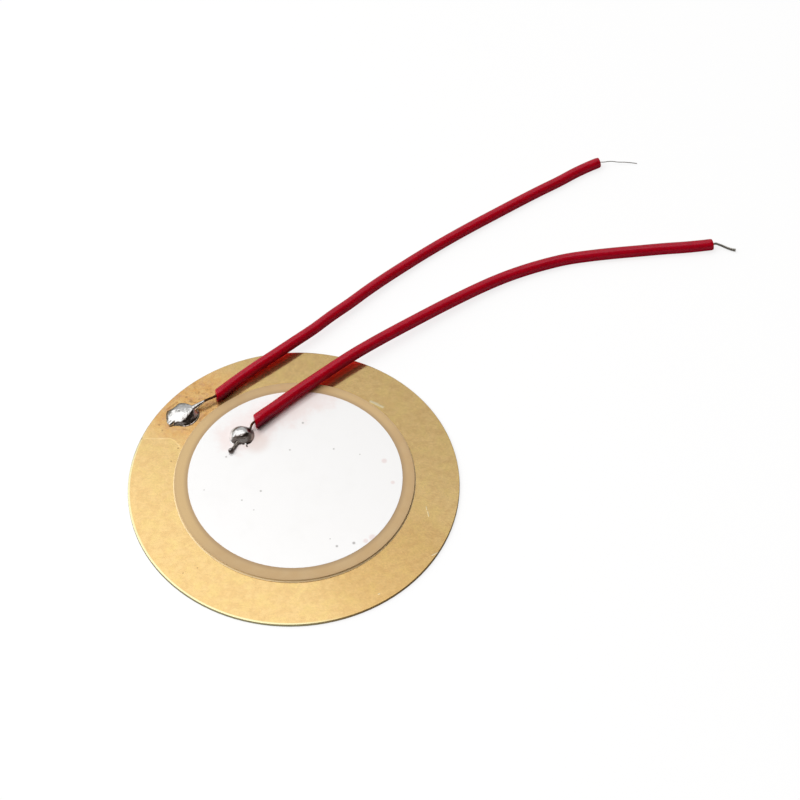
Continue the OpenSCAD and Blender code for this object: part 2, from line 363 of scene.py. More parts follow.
@dataclass(frozen=True)
class Stack:
    """The disc's layers in millimetres, from the plate up, and where the joints sit on them."""

    plate_r: float
    plate_t: float
    ceramic_r: float
    electrode_r: float
    top: float
    ceramic_off_centre: float = 0.3
    ceramic_off_angle: float = 80
    print_off_centre: float = 0.1
    print_off_angle: float = 60
    plate_joint_angle: float = 143.5
    electrode_joint_angle: float = 137.0
    electrode_joint_inset: float = 2.55

    @classmethod
    def packed(cls) -> "Stack":
        """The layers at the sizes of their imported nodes.

        Returns:
            The stack.
        """
        return cls(
            plate_r=radius_of("brass_plate"),
            plate_t=top_of("brass_plate"),
            ceramic_r=radius_of("ceramic_disc"),
            electrode_r=radius_of("upper_electrode"),
            top=top_of("upper_electrode"),
        )

    @property
    def ceramic_at(self) -> Vector:
        """Middle of the ceramic disc."""
        return self.ceramic_off_centre * heading(self.ceramic_off_angle)

    @property
    def print_at(self) -> Vector:
        """Middle of the upper electrode."""
        return self.ceramic_at + self.print_off_centre * heading(self.print_off_angle)

    @property
    def plate_joint_at(self) -> Vector:
        """Middle of the plate joint, midway between the ceramic and the plate's edge."""
        out = heading(self.plate_joint_angle)
        return out * (self.plate_r + self.ceramic_r + self.ceramic_at.dot(out)) / 2

    @property
    def electrode_joint_at(self) -> Vector:
        """Middle of the electrode joint."""
        out = heading(self.electrode_joint_angle)
        return self.print_at + (self.electrode_r - self.electrode_joint_inset) * out


@dataclass(frozen=True)
class LeadRoute:
    """The line that a lead follows, from its cut end in the solder to its free tip.

    The soldered points have x and y as shares of the joint's radius and their height over the
    metal, the jacketed points the gap under the jacket, and the tip's points their height as a
    share of that of the jacket's end. A place u along the route is a whole number at its points.
    """

    joint_at: Vector
    joint_r: float
    base: float
    diameter: float
    soldered: tuple[Point, ...]
    jacketed: tuple[Point, ...]
    tip: tuple[Point, ...]
    landing: float = 0.6

    @property
    def points(self) -> list[Vector]:
        """The route's own points."""
        x, y = self.joint_at
        r, half = self.joint_r, self.diameter / 2
        found = [Vector((x + r * p[0], y + r * p[1], self.base + p[2])) for p in self.soldered]
        for i, p in enumerate(self.jacketed):
            t = min(1, i / (len(self.jacketed) * self.landing))
            fallen = t * t * (3 - 2 * t)
            found.append(Vector((x + p[0], y + p[1], self.base * (1 - fallen) + p[2] + half)))
        found += [Vector((x + p[0], y + p[1], half * p[2])) for p in self.tip]
        return found

    @property
    def jacket_start(self) -> int:
        """Number of the point at which the jacket starts."""
        return len(self.soldered)

    @property
    def jacket_end(self) -> int:
        """Number of the point at which the jacket ends."""
        return len(self.soldered) + len(self.jacketed) - 1

    @property
    def end(self) -> int:
        """Number of the last point."""
        return self.jacket_end + len(self.tip)

    def tangent(self, points: Sequence[Vector], i: int) -> Vector:
        """Heading of the route at one of its points.

        Args:
            points: The route's points.
            i: Number of the point.

        Returns:
            A unit vector.
        """
        if i < self.jacket_start:
            return (points[1] - points[0]).normalized()
        if i == len(points) - 1:
            return (points[i] - points[i - 1]).normalized()
        return (points[i + 1] - points[i - 1]).normalized()

    def at(self, u: float) -> tuple[Vector, Vector]:
        """Place and direction on a smooth cubic through the points.

        Args:
            u: Place along the route.

        Returns:
            The place in millimetres and the unit direction.
        """
        points = self.points
        i = min(int(u), len(points) - 2)
        t = u - i
        a, b = points[i], points[i + 1]
        size = (b - a).length
        go, come = self.tangent(points, i) * size, self.tangent(points, i + 1) * size
        place = (
            (2 * t**3 - 3 * t**2 + 1) * a
            + (3 * t**2 - 2 * t**3) * b
            + (t**3 - 2 * t**2 + t) * go
            + (t**3 - t**2) * come
        )
        along = (6 * t**2 - 6 * t) * (a - b) + (3 * t**2 - 4 * t + 1) * go + (3 * t**2 - 2 * t) * come
        return place, along.normalized()

    def stations(self, start: float, end: float, spacing: float) -> list[float]:
        """Even stations along the route.

        Args:
            start: First station.
            end: Last station.
            spacing: Rough length from one to the next in millimetres.

        Returns:
            Places along the route.
        """
        rounding, too_near = 1e-9, 1e-3
        points = self.points
        found, u = [start], start
        while True:
            i = min(int(u + rounding), len(points) - 2)
            u += spacing / (points[i + 1] - points[i]).length
            if u > end - too_near:
                return [*found, end]
            found.append(u)


# --------------------------------------------------------------------------- workshop


class Workshop:
    """Modelling steps that every sub-assembly uses. Work in hand is in millimetres."""

    MERGE_WITHIN = 1e-5
    SMOOTH_BELOW = math.radians(40)

    @staticmethod
    def clear() -> None:
        """Leaves nothing selected, in object mode."""
        if bpy.context.object and bpy.context.object.mode != "OBJECT":
            bpy.ops.object.mode_set(mode="OBJECT")
        bpy.ops.object.select_all(action="DESELECT")

    @staticmethod
    def pick(*pieces: bpy.types.Object) -> None:
        """Selects pieces and makes the first of them active."""
        Workshop.clear()
        for piece in pieces:
            piece.select_set(True)
        bpy.context.view_layer.objects.active = pieces[0]

    @staticmethod
    def apply(piece: bpy.types.Object, kind: str, **settings: Any) -> None:
        """Adds a modifier and applies it.

        Args:
            piece: The piece that gets it.
            kind: The modifier's type.
            **settings: The modifier's settings.
        """
        Workshop.pick(piece)
        modifier = piece.modifiers.new(kind.lower(), kind)
        for name, value in settings.items():
            setattr(modifier, name, value)
        bpy.ops.object.modifier_apply(modifier=modifier.name)

    @staticmethod
    def finish(
        piece: bpy.types.Object, name: str, material: bpy.types.Material, slot: Slot, node: str
    ) -> bpy.types.Object:
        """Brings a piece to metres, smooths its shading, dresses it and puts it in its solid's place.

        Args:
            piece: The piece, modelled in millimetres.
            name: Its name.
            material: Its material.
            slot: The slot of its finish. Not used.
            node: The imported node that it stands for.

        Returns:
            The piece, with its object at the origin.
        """
        Workshop.pick(piece)
        bpy.ops.object.transform_apply(location=True, rotation=True, scale=True)
        bpy.ops.object.mode_set(mode="EDIT")
        bpy.ops.mesh.select_all(action="SELECT")
        bpy.ops.mesh.remove_doubles(threshold=Workshop.MERGE_WITHIN)
        bpy.ops.mesh.normals_make_consistent(inside=False)
        bpy.ops.object.mode_set(mode="OBJECT")
        piece.data.transform(Matrix.Scale(MM, 4))
        bpy.ops.object.shade_smooth_by_angle(angle=Workshop.SMOOTH_BELOW)
        piece.name = piece.data.name = name
        piece.data.materials.clear()
        piece.data.materials.append(material)
        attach(piece, "root")
        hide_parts(node)
        return piece

    @staticmethod
    def swept(
        name: str, rings: Sequence[Sequence[Vector]], loop: bool, lengths: Sequence[float]
    ) -> bpy.types.Object:
        """A tube through equal rings of points.

        Args:
            name: The piece's name.
            rings: The rings in millimetres.
            loop: Whether the last ring goes on to the first. If not, both ends are capped.
            lengths: How far along the piece each ring is, for its UV map.

        Returns:
            The new object.
        """
        sides, count = len(rings[0]), len(rings)
        vertices = [tuple(p) for ring in rings for p in ring]
        faces, spans = [], []
        for here in range(count if loop else count - 1):
            after = (here + 1) % count
            for k in range(sides):
                n = (k + 1) % sides
                corners = ((here, k), (here, n), (after, n), (after, k))
                faces.append(tuple(ring * sides + side for ring, side in corners))
                left, right = k / sides, (k + 1) / sides
                begun, done = lengths[here], lengths[after]
                spans.append([(left, begun), (right, begun), (right, done), (left, done)])
        if not loop:
            faces += [tuple(reversed(range(sides))), tuple(range((count - 1) * sides, count * sides))]
            spans += [[(0, lengths[0])] * sides, [(0, lengths[-1])] * sides]
        mesh = bpy.data.meshes.new(name)
        mesh.from_pydata(vertices, [], faces)
        layer = mesh.uv_layers.new(name="along")
        layer.data.foreach_set("uv", [c for span in spans for uv in span for c in uv])
        piece = bpy.data.objects.new(name, mesh)
        bpy.context.scene.collection.objects.link(piece)
        return piece


# --------------------------------------------------------------------------- finishes


@dataclass(frozen=True)
class FluxStain:
    """A flux stain on brass.

    Two of its values are wavy distances: from its middle, and inwards from its tide mark. The
    others are 1 where the brass is fully stained, and where a film of flux lies on it.
    """

    from_middle: Signal
    inside: Signal
    full: Signal
    film: Signal


@dataclass(frozen=True)
class BrassSheet:
    """Rolled brass: mottled, faintly scratched, stained amber by flux round its solder joint, with a
    painted highlight along its front left edge and painted shade on its lower right.

    The stain ends at a tide mark to the left and to the front, which is a rounded corner. Its own
    fades are distances from its middle, and those of the tide mark are distances inside the mark.
    """

    stack: Stack
    base: Colour = (0.9, 0.63, 0.28)
    cloudy: Colour = (0.84, 0.57, 0.245)
    yellow: Colour = (0.9, 0.66, 0.26)
    amber: Colour = (0.78, 0.44, 0.15)
    rosy: Colour = (0.7, 0.4, 0.2)
    brown: Colour = (0.36, 0.2, 0.08)
    tide_line: Colour = (0.98, 0.8, 0.45)
    run_brown: Colour = (0.42, 0.2, 0.06)
    fresh_flux: Colour = (0.9, 0.52, 0.2)
    painted_glint: Colour = (1.0, 0.96, 0.58)
    painted_shade: Colour = (0.84, 0.77, 0.68)
    scratched: Colour = (1.0, 0.93, 0.66)
    stain_off_joint: float = 0.9
    stain_wander: float = 1.6
    stain_fade: Fade = (5.4, 2.2)
    film_fade: Fade = (6.4, 3.0)
    line_fade: Fade = (6.4, 4.2)
    burnt_fade: Fade = (3.6, 1.5)
    tide_corner: Flat = (-10.6, 3.4)
    tide_r: float = 1.08
    tide_width: float = 0.09
    tide_wander: float = 0.16
    tide_stain_fade: Fade = (0, 0.12)
    tide_film_fade: Fade = (-0.1, 0.1)
    main_run: Mark = (-8.3, 7.3, -7.05, 8.25, 0.55)
    small_runs: tuple[Mark, ...] = (
        (-7.95, 6.5, -7.45, 7.0, 0.3),
        (-9.95, 8.2, -10.7, 7.5, 0.3),
        (-9.3, 5.45, -8.8, 5.35, 0.25),
        (-8.9, 8.55, -8.6, 8.2, 0.25),
    )
    fresh_run: Mark = (-9.15, 5.15, -8.55, 4.8, 0.6)
    scratches: tuple[Mark, ...] = (
        (10.75, -2.3, 10.8, -2.62, 0.11),
        (10.87, -2.8, 10.95, -3.25, 0.13),
        (6.2, 8.3, 6.75, 8.02, 0.4),
        (6.6, 8.06, 7.2, 7.72, 0.36),
        (8.2, 5.6, 8.55, 5.0, 0.14),
        (6.93, -10.66, 7.03, -10.62, 0.14),
        (11.2, -7.0, 12.0, -6.55, 0.16),
    )
    specks: tuple[Speck, ...] = (
        (-7.45, -8.2, 0.09),
        (-8.57, -8.68, 0.1),
        (-10.1, 2.2, 0.09),
        (-9.2, 8.75, 0.16),
        (-8.8, 8.3, 0.13),
        (-11.0, 5.3, 0.12),
        (-11.3, 5.9, 0.14),
        (-12.7, 4.5, 0.16),
        (-9.6, 3.5, 0.12),
    )
    # Painted shade: a darker, more orange patch on the lower right
    painted_shade_patch: Speck = (8.2, -8.2, 8.0)
    # Painted highlight along the plate's front left edge
    painted_glint_towards: Flat = (-0.75, -0.66)
    painted_glint_side: Fade = (4.5, 9.0)
    painted_glint_inset: Fade = (0.21, 0.12)

    def mottled(self, s: SurfaceShader, grain: Signal, rolled: Signal) -> Signal:
        """The bare brass: cloudy, with yellower patches, grain and rolling lines.

        Args:
            s: The finish's shader.
            grain: Fine noise.
            rolled: Noise along the rolling lines.

        Returns:
            Its colour.
        """
        tone = s.blend(s.noise(2.0).step(0.34, 0.66), self.base, self.cloudy)
        patches = s.noise(1.0, 4, 0.6, s.shifted((7.0, 3.0, 0.0)))
        tone = s.blend(patches.step(0.42, 0.66) * 0.6, tone, self.yellow)
        level = 1 + (grain - 0.5) * 0.22 + (rolled - 0.5) * 0.04
        grey = s.node("ShaderNodeCombineColor", None, {0: level, 1: level, 2: level})
        return s.blend(1.0, tone, grey, Mixing.DARKEN)

    def stain(self, s: SurfaceShader) -> FluxStain:
        """Lays out the stain round the solder joint.

        Args:
            s: The finish's shader.

        Returns:
            The stain.
        """
        joint = self.stack.plate_joint_at
        off = self.stain_off_joint
        from_middle = s.distance((joint.x + off, joint.y + off, self.stack.plate_t))
        from_middle = from_middle + (s.noise(1.1, 3) - 0.5) * self.stain_wander
        x, y, _ = s.parts(s.place)
        left, front = self.tide_corner
        corner = s.node("ShaderNodeCombineXYZ", None, {0: (x - left).most(0), 1: (y - front).most(0)})
        inside = s.length(corner) - self.tide_r + (s.noise(2.2, 1) - 0.5) * self.tide_wander
        full = from_middle.step(*self.stain_fade) * inside.step(*self.tide_stain_fade)
        film = from_middle.step(*self.film_fade) * inside.step(*self.tide_film_fade)
        return FluxStain(from_middle, inside, full, film)

    def fluxed(self, s: SurfaceShader, tone: Signal, stain: FluxStain) -> Signal:
        """Stains the brass: amber and rosy blotches, the tide mark, burnt flux and its runs.

        Args:
            s: The finish's shader.
            tone: The bare brass's colour.
            stain: Where the stain is.

        Returns:
            The stained colour.
        """
        tone = s.blend(stain.full * (s.noise(2.3, 3, 0.6) * 2.2 - 0.35), tone, self.amber)
        blotches = s.noise(1.5, 4, 0.7, s.shifted((0.0, 9.0, 4.0)))
        tone = s.blend(stain.full * blotches.step(0.48, 0.64) * 0.7, tone, self.rosy)
        off_line = ((stain.inside * (1 / self.tide_width)) ** 2).least(1)
        line = (1 - off_line) * stain.from_middle.step(*self.line_fade) * s.noise(1.2).step(0.35, 0.6)
        tone = s.blend(line * 0.45, tone, self.tide_line)
        burnt = s.noise(3.1, 3, 0.65).step(0.53, 0.7) * stain.from_middle.step(*self.burnt_fade)
        tone = s.blend(burnt * 0.6, tone, self.brown)
        z = self.stack.plate_t
        runs = s.marks(z, [self.main_run]).most(s.marks(z, self.small_runs) * 0.8)
        ragged = s.noise(4.0, 3, 0.6).step(0.3, 0.6)
        tone = s.blend(runs * (0.3 + 0.5 * ragged), tone, self.run_brown)
        return s.blend(s.marks(z, [self.fresh_run]) * 0.6, tone, self.fresh_flux)

    def painted_light_and_wear(self, s: SurfaceShader, tone: Signal, scratched: Signal) -> Signal:
        """Paints a highlight along the front left edge and shade on the lower right, and wears the brass:
        scratched and specked.

        Args:
            s: The finish's shader.
            tone: The stained colour.
            scratched: Where the scratches are.

        Returns:
            The final colour.
        """
        # Painted highlight along the front left edge
        facing = s.dot(s.place, (*self.painted_glint_towards, 0.0)).step(*self.painted_glint_side)
        from_middle = s.length(s.stretched((1.0, 1.0, 0.0)))
        begun, full = (self.stack.plate_r - inset for inset in self.painted_glint_inset)
        tone = s.blend(from_middle.step(begun, full) * facing * 0.8, tone, self.painted_glint)
        z = self.stack.plate_t
        # Painted shade: darker and more orange on the lower right
        tone = s.blend(s.specks(z, [self.painted_shade_patch]) * 0.7, tone, self.painted_shade, Mixing.DARKEN)
        tone = s.blend(scratched * 0.7, tone, self.scratched)
        return s.blend(s.specks(z, self.specks) * 0.6, tone, self.brown)

    def material(self) -> bpy.types.Material:
        """Builds the finish.

        Returns:
            The material.
        """
        s = SurfaceShader("brass_sheet")
        grain = s.noise(5.5)
        rolled = s.noise(0.9, place=s.stretched((0.6, 7.0, 1.0)))
        scratched = s.marks(self.stack.plate_t, self.scratches)
        stain = self.stain(s)
        tone = self.fluxed(s, self.mottled(s, grain, rolled), stain)
        s.set(
            Base_Color=self.painted_light_and_wear(s, tone, scratched),
            Metallic=0.94 - stain.film * 0.2,
            Roughness=0.11 + 0.07 * s.noise(1.3, 3) + 0.07 * stain.full,
            IOR=1.5,
        )
        s.relief(grain * 0.5 + rolled * 0.06 + scratched * 0.4 + stain.film * 0.5, 0.0027)
        return s.material


@dataclass(frozen=True)
class FiredCeramic:
    """Unglazed piezo ceramic: beige, fine and faintly clouded, browned next to the silver print, with
    painted light on its left side and its side wall and painted shade at its outer rim.
    """

    stack: Stack
    base: Colour = (0.5, 0.335, 0.162)
    pale: Colour = (0.52, 0.365, 0.19)
    light: Colour = (0.59, 0.41, 0.195)
    grainy: Colour = (0.38, 0.27, 0.15)
    browned: Colour = (0.37, 0.245, 0.13)
    # Painted light: a lighter colour for the side wall than for the top
    painted_lit_wall: Colour = (0.72, 0.52, 0.26)
    # Where painted light makes the left side lighter
    painted_lit_x: Fade = (-5.0, -9.0)
    painted_lit_y: Fade = (-9.0, -5.0)
    back_right_x: Fade = (1.0, 4.0)
    back_right_y: Fade = (4.0, 7.0)
    browned_by_silver: float = 0.45
    shaded_by_rim: float = 0.3
    wall_down: Fade = (0.02, 0.05)

    def material(self) -> bpy.types.Material:
        """Builds the finish.

        Returns:
            The material.
        """
        s = SurfaceShader("fired_ceramic")
        top, rim = self.stack.top, self.stack.ceramic_r
        cloud = s.noise(0.8, 3)
        grain = s.noise(14)
        tone = s.blend(cloud.step(0.3, 0.75), self.base, self.pale)
        x, y, z = s.parts(s.place)
        # Painted light: the left side is lighter
        left = x.step(*self.painted_lit_x) * y.step(*self.painted_lit_y)
        back_right = x.step(*self.back_right_x) * y.step(*self.back_right_y)
        tone = s.blend(left, tone, self.light)
        tone = s.blend(back_right * 0.6, tone, self.light)
        tone = s.blend((grain - 0.5).step(0.05, 0.3) * 0.25, tone, self.grainy)
        from_silver = s.distance((*self.stack.print_at, top)) - self.stack.electrode_r
        tone = s.blend(from_silver.step(self.browned_by_silver, 0.0) * 0.8, tone, self.browned)
        from_middle = s.distance((*self.stack.ceramic_at, top))
        # Painted shade: darker towards the outer rim
        tone = s.blend(from_middle.step(rim - self.shaded_by_rim, rim) * 0.25, tone, self.browned)
        # Painted light: the side wall is lighter than the top
        tone = s.blend((top - z).step(*self.wall_down), tone, self.painted_lit_wall)
        s.set(Base_Color=tone, Roughness=0.42 + 0.12 * cloud, Specular_IOR_Level=0.5)
        s.relief(grain, 0.003)
        return s.material


@dataclass(frozen=True)
class SilverPrint:
    """Fired silver: nearly white, matt, with a few dark specks and a faint pink cast by the joint.

    The cast is partly a stain round the joint and partly a painted reflection of the red lead along it,
    and is deeper in one spot close to the joint. Both are placed from the joint's middle.
    """

    stack: Stack
    base: Colour = (0.905, 0.902, 0.897)
    clouded: Colour = (0.88, 0.875, 0.866)
    pink: Colour = (0.86, 0.74, 0.715)
    deep_pink: Colour = (0.74, 0.6, 0.55)
    blushed: Colour = (0.68, 0.43, 0.4)
    dark: Colour = (0.12, 0.1, 0.09)
    # Partly a stain by the joint and partly a painted reflection of the red lead along it
    cast: Streak = ((-0.5, -0.1, 0.0), (6.4, 4.4, 0.0), 6.4)
    deep_cast: Spot = ((1.25, -0.65, 0.0), 1.5)
    specks: tuple[Speck, ...] = (
        (-4.15, -1.85, 0.1),
        (-2.65, -0.95, 0.13),
        (3.2, 3.25, 0.11),
        (5.35, 2.7, 0.08),
        (4.95, -6.0, 0.18),
        (3.6, -6.3, 0.15),
        (3.05, -5.6, 0.08),
        (-5.6, 2.45, 0.12),
        (-7.25, -0.85, 0.08),
        (-3.15, -2.8, 0.08),
        (-0.4, 3.15, 0.11),
        (0.6, 5.9, 0.14),
    )
    blushes: tuple[Speck, ...] = (
        (7.35, 2.05, 0.32),
        (8.05, -0.1, 0.24),
        (6.45, -5.45, 0.4),
        (5.9, -5.8, 0.3),
        (-6.0, -6.3, 0.5),
    )

    def material(self) -> bpy.types.Material:
        """Builds the finish.

        Returns:
            The material.
        """
        s = SurfaceShader("silver_print")
        top = self.stack.top
        from_joint = s.from_point((*self.stack.electrode_joint_at, top))
        weave = s.noise(9)
        cloud = s.noise(0.7, 3)
        ragged = s.noise(0.9, 4, 0.65)
        tone = s.blend(cloud.step(0.45, 0.8) * 0.5, self.base, self.clouded)
        # Pink cast: partly a stain by the joint, partly a painted reflection of the red lead
        cast = (s.streak(*self.cast, from_joint) + (ragged - 0.5) * 1.3).step(0.2, 0.9)
        tone = s.blend(cast * (0.4 + 0.5 * ragged), tone, self.pink)
        tone = s.blend(s.spot(*self.deep_cast, from_joint) * 0.55, tone, self.deep_pink)
        tone = s.blend(s.specks(top, self.blushes) * 0.35, tone, self.blushed)
        speckled = s.specks(top, self.specks)
        tone = s.blend(speckled * 0.6, tone, self.dark)
        s.set(Base_Color=tone, Metallic=0.22 - 0.2 * speckled, Roughness=0.15 + 0.08 * cloud)
        s.relief(weave * 0.15 + cloud * 0.85, 0.0015)
        return s.material


@dataclass(frozen=True)
class CuredBond:
    """Cured adhesive, squeezed out as a thin amber bead."""

    base: Colour = (0.88, 0.7, 0.42)
    cloudy: Colour = (0.78, 0.6, 0.34)

    def material(self) -> bpy.types.Material:
        """Builds the finish.

        Returns:
            The material.
        """
        s = SurfaceShader("cured_bond")
        cloud = s.noise(1.6)
        s.set(Base_Color=s.blend(cloud, self.base, self.cloudy), Roughness=0.2 + 0.15 * cloud)
        return s.material


@dataclass(frozen=True)
class SolderSkin:
    """What a solder finish is painted with: its shader, the place on the joint and two noises."""

    shader: SurfaceShader
    place: Signal
    grain: Signal
    mottle: Signal


@dataclass(frozen=True)
class TinSolder:
    """Bright solder that froze with a faint frost here and there.

    Each joint has its own kind of it, whose places are from the joint's middle on its metal.
    """

    joint_at: Vector
    metal_z: float
    name: str = "tin_solder"
    base: Colour = (0.86, 0.85, 0.84)
    frosted: Colour = (0.7, 0.69, 0.68)
    burnt: Colour = (0.12, 0.09, 0.08)

    def stained(self, skin: SolderSkin, tone: Signal) -> Signal:
        """The stained colour. Plain solder has no stains."""
        return tone

    def scorched(self, skin: SolderSkin) -> Value:
        """How burnt the solder is, from 0 to 1. Plain solder isn't."""
        return 0.0

    def material(self) -> bpy.types.Material:
        """Builds the finish.

        Returns:
            The material.
        """
        s = SurfaceShader(self.name)
        frost = s.noise(2.4, 3)
        grain = s.noise(9)
        mottle = s.noise(4.5, 3, 0.6).step(0.42, 0.64)
        tone = s.blend(frost.step(0.5, 0.8) * 0.5, self.base, self.frosted)
        skin = SolderSkin(s, s.from_point((*self.joint_at, self.metal_z)), grain, mottle)
        tone = self.stained(skin, tone)
        scorched = self.scorched(skin)
        s.set(
            Base_Color=s.blend(scorched * (0.7 + 0.6 * grain), tone, self.burnt),
            Metallic=1.0,
            Roughness=0.05 + 0.12 * frost.step(0.5, 0.75) + 0.25 * scorched,
        )
        s.relief(frost * 0.7 + grain * 0.3, 0.05)
        return s.material


@dataclass(frozen=True)
class RoundJointSolder(TinSolder):
    """The electrode joint's solder: burnt at its neck, its wick and its spike, with painted shade on its
    back left and a painted dim reflection on its far side.
    """

    name: str = "round_joint_solder"
    # Painted shade colour for the back left
    shaded: Colour = (0.4, 0.38, 0.34)
    painted_dim_reflection: Colour = (0.3, 0.23, 0.2)
    shade: Spot = ((-0.5, 0.6, 0.35), 0.85)
    dim_reflection_towards: Point = (0.9, -0.3, 0.0)
    dim_reflection_side: Fade = (0.6, 0.82)
    neck: Streak = ((-0.34, -0.9, 0.1), (-0.8, -1.8, 0.2), 0.75)
    wick: Spot = ((0.72, 0.36, 0.42), 0.7)
    spike: Spot = ((0.54, -1.18, 0.0), 0.28)

    def stained(self, skin: SolderSkin, tone: Signal) -> Signal:
        """Paints shade on the back left, mottled, and a dim brownish reflection on the far side.

        Args:
            skin: What the solder is painted with.
            tone: The bright solder's colour.

        Returns:
            The stained colour.
        """
        s = skin.shader
        # Painted shade on the back left, mottled
        shade = s.spot(*self.shade, skin.place).step(0, 0.6)
        tone = s.blend(shade * (0.5 + 0.5 * skin.mottle), tone, self.shaded)
        # Painted dim reflection of the shaded silver on the far side
        dim_reflection_side = s.dot(skin.place, self.dim_reflection_towards).step(*self.dim_reflection_side)
        return s.blend(dim_reflection_side * 0.9, tone, self.painted_dim_reflection)

    def scorched(self, skin: SolderSkin) -> Value:
        """Burns the neck, the wick and the spike.

        Args:
            skin: What the solder is painted with.

        Returns:
            How burnt it is, from 0 to 1.
        """
        neck = skin.shader.streak(*self.neck, skin.place).step(0, 0.5)
        wick = skin.shader.spot(*self.wick, skin.place)
        spike = skin.shader.spot(*self.spike, skin.place)
        return neck.most(wick).most(spike)


@dataclass(frozen=True)
class BroadJointSolder(TinSolder):
    """The plate joint's solder: flux round its foot, dull on its crown, and a painted warm highlight at
    its right rim.
    """

    name: str = "broad_joint_solder"
    hazy: Colour = (0.5, 0.48, 0.4)
    dull: Colour = (0.25, 0.24, 0.21)
    crest_brown: Colour = (0.2, 0.17, 0.11)
    painted_warm_highlight: Colour = (1.0, 0.84, 0.7)
    flux: Colour = (0.16, 0.12, 0.06)
    hazy_x: Fade = (2.42, 1.42)
    hazy_y: Fade = (0.1, 0.6)
    crown: Streak = ((-0.5, -0.12, 0.54), (0.05, -0.04, 0.6), 0.45)
    crown_spots: tuple[Spot, ...] = (((-0.95, -0.2, 0.3), 0.32), ((0.42, 0.02, 0.6), 0.24))
    crest_side: Fade = (0.45, 0.75)
    crest_z: Fade = (0.5, 0.4)
    foot_z: Fade = (0.09, 0.055)
    right_x: Fade = (0.1, 0.3)
    painted_highlight_x: Fade = (1.2, 0.7)
    flux_z: Fade = (0.035, 0.012)
    behind_side: Fade = (-0.5, 0.1)
    behind_z: Fade = (0.17, 0.07)
    front_x: Fade = (0.2, 0.0)
    front_y: Fade = (-0.85, -1.0)
    far_right_x: Fade = (0.85, 1.15)

    def stained(self, skin: SolderSkin, tone: Signal) -> Signal:
        """Hazes the back, dulls the crown, browns the crest, paints a warm highlight on the right rim,
        and rims the foot with flux.

        Args:
            skin: What the solder is painted with.
            tone: The bright solder's colour.

        Returns:
            The stained colour.
        """
        s, place, grain, mottle = skin.shader, skin.place, skin.grain, skin.mottle
        x, y, z = s.parts(place)
        back = x.step(*self.hazy_x) * y.step(*self.hazy_y)
        tone = s.blend(back * mottle * 0.6, tone, self.hazy)
        crown = s.streak(*self.crown, place)
        for spot in self.crown_spots:
            crown = crown.most(s.spot(*spot, place))
        tone = s.blend(crown.step(0.1, 0.8) * (0.2 + 0.75 * mottle), tone, self.dull)
        crest = (y - 0.6 * x).step(*self.crest_side) * z.step(*self.crest_z)
        tone = s.blend(crest * (0.5 + 0.6 * grain), tone, self.crest_brown)
        foot = z.step(*self.foot_z)
        right = foot * x.step(*self.right_x)
        # Painted warm highlight along the right rim of the foot
        tone = s.blend(right * x.step(*self.painted_highlight_x) * 0.8, tone, self.painted_warm_highlight)
        behind = (y - 0.5 * x).step(*self.behind_side) * z.step(*self.behind_z)
        front = foot * x.step(*self.front_x) * y.step(*self.front_y)
        far_right = right * x.step(*self.far_right_x)
        fluxed = (z.step(*self.flux_z) + behind).least(1).most(front).most(far_right)
        return s.blend(fluxed * (0.6 + 0.6 * grain), tone, self.flux)


@dataclass(frozen=True)
class TinnedStrand:
    """Tinned copper wire: browned by flux next to the joints, and duller at the free tips.

    A browned place's x and y are from its joint's middle, and its z is from the floor. The plate
    lead's tip comes first on the way to the right, and the electrode lead's is beyond it.
    """

    stack: Stack
    base: Colour = (0.62, 0.58, 0.52)
    spotted: Colour = (0.45, 0.38, 0.3)
    browned: Colour = (0.17, 0.08, 0.025)
    plate_browned_at: Point = (2.2, 1.3, 0.9)
    plate_browned_fade: Fade = (1.6, 0.9)
    electrode_browned_at: Point = (0.9, 0.7, 1.0)
    electrode_browned_fade: Fade = (0.9, 0.5)
    plate_tip: Colour = (0.3, 0.285, 0.25)
    plate_tip_x: Fade = (25.5, 26.5)
    electrode_tip: Colour = (0.52, 0.5, 0.45)
    electrode_tip_x: Fade = (32, 34)

    def material(self) -> bpy.types.Material:
        """Builds the finish.

        Returns:
            The material.
        """
        s = SurfaceShader("tinned_strand")
        at = self.stack.plate_joint_at.to_3d() + Vector(self.plate_browned_at)
        by_plate = s.distance(tuple(at)).step(*self.plate_browned_fade)
        at = self.stack.electrode_joint_at.to_3d() + Vector(self.electrode_browned_at)
        by_electrode = s.distance(tuple(at)).step(*self.electrode_browned_fade)
        spotty = s.noise(6)
        tone = s.blend(spotty.step(0.4, 0.7) * 0.5, self.base, self.spotted)
        tone = s.blend(by_plate.most(by_electrode) * 0.92, tone, self.browned)
        x = s.parts(s.place)[0]
        tone = s.blend(x.step(*self.plate_tip_x), tone, self.plate_tip)
        tone = s.blend(x.step(*self.electrode_tip_x), tone, self.electrode_tip)
        s.set(Base_Color=tone, Metallic=1.0, Roughness=0.25 + 0.2 * spotty)
        return s.material


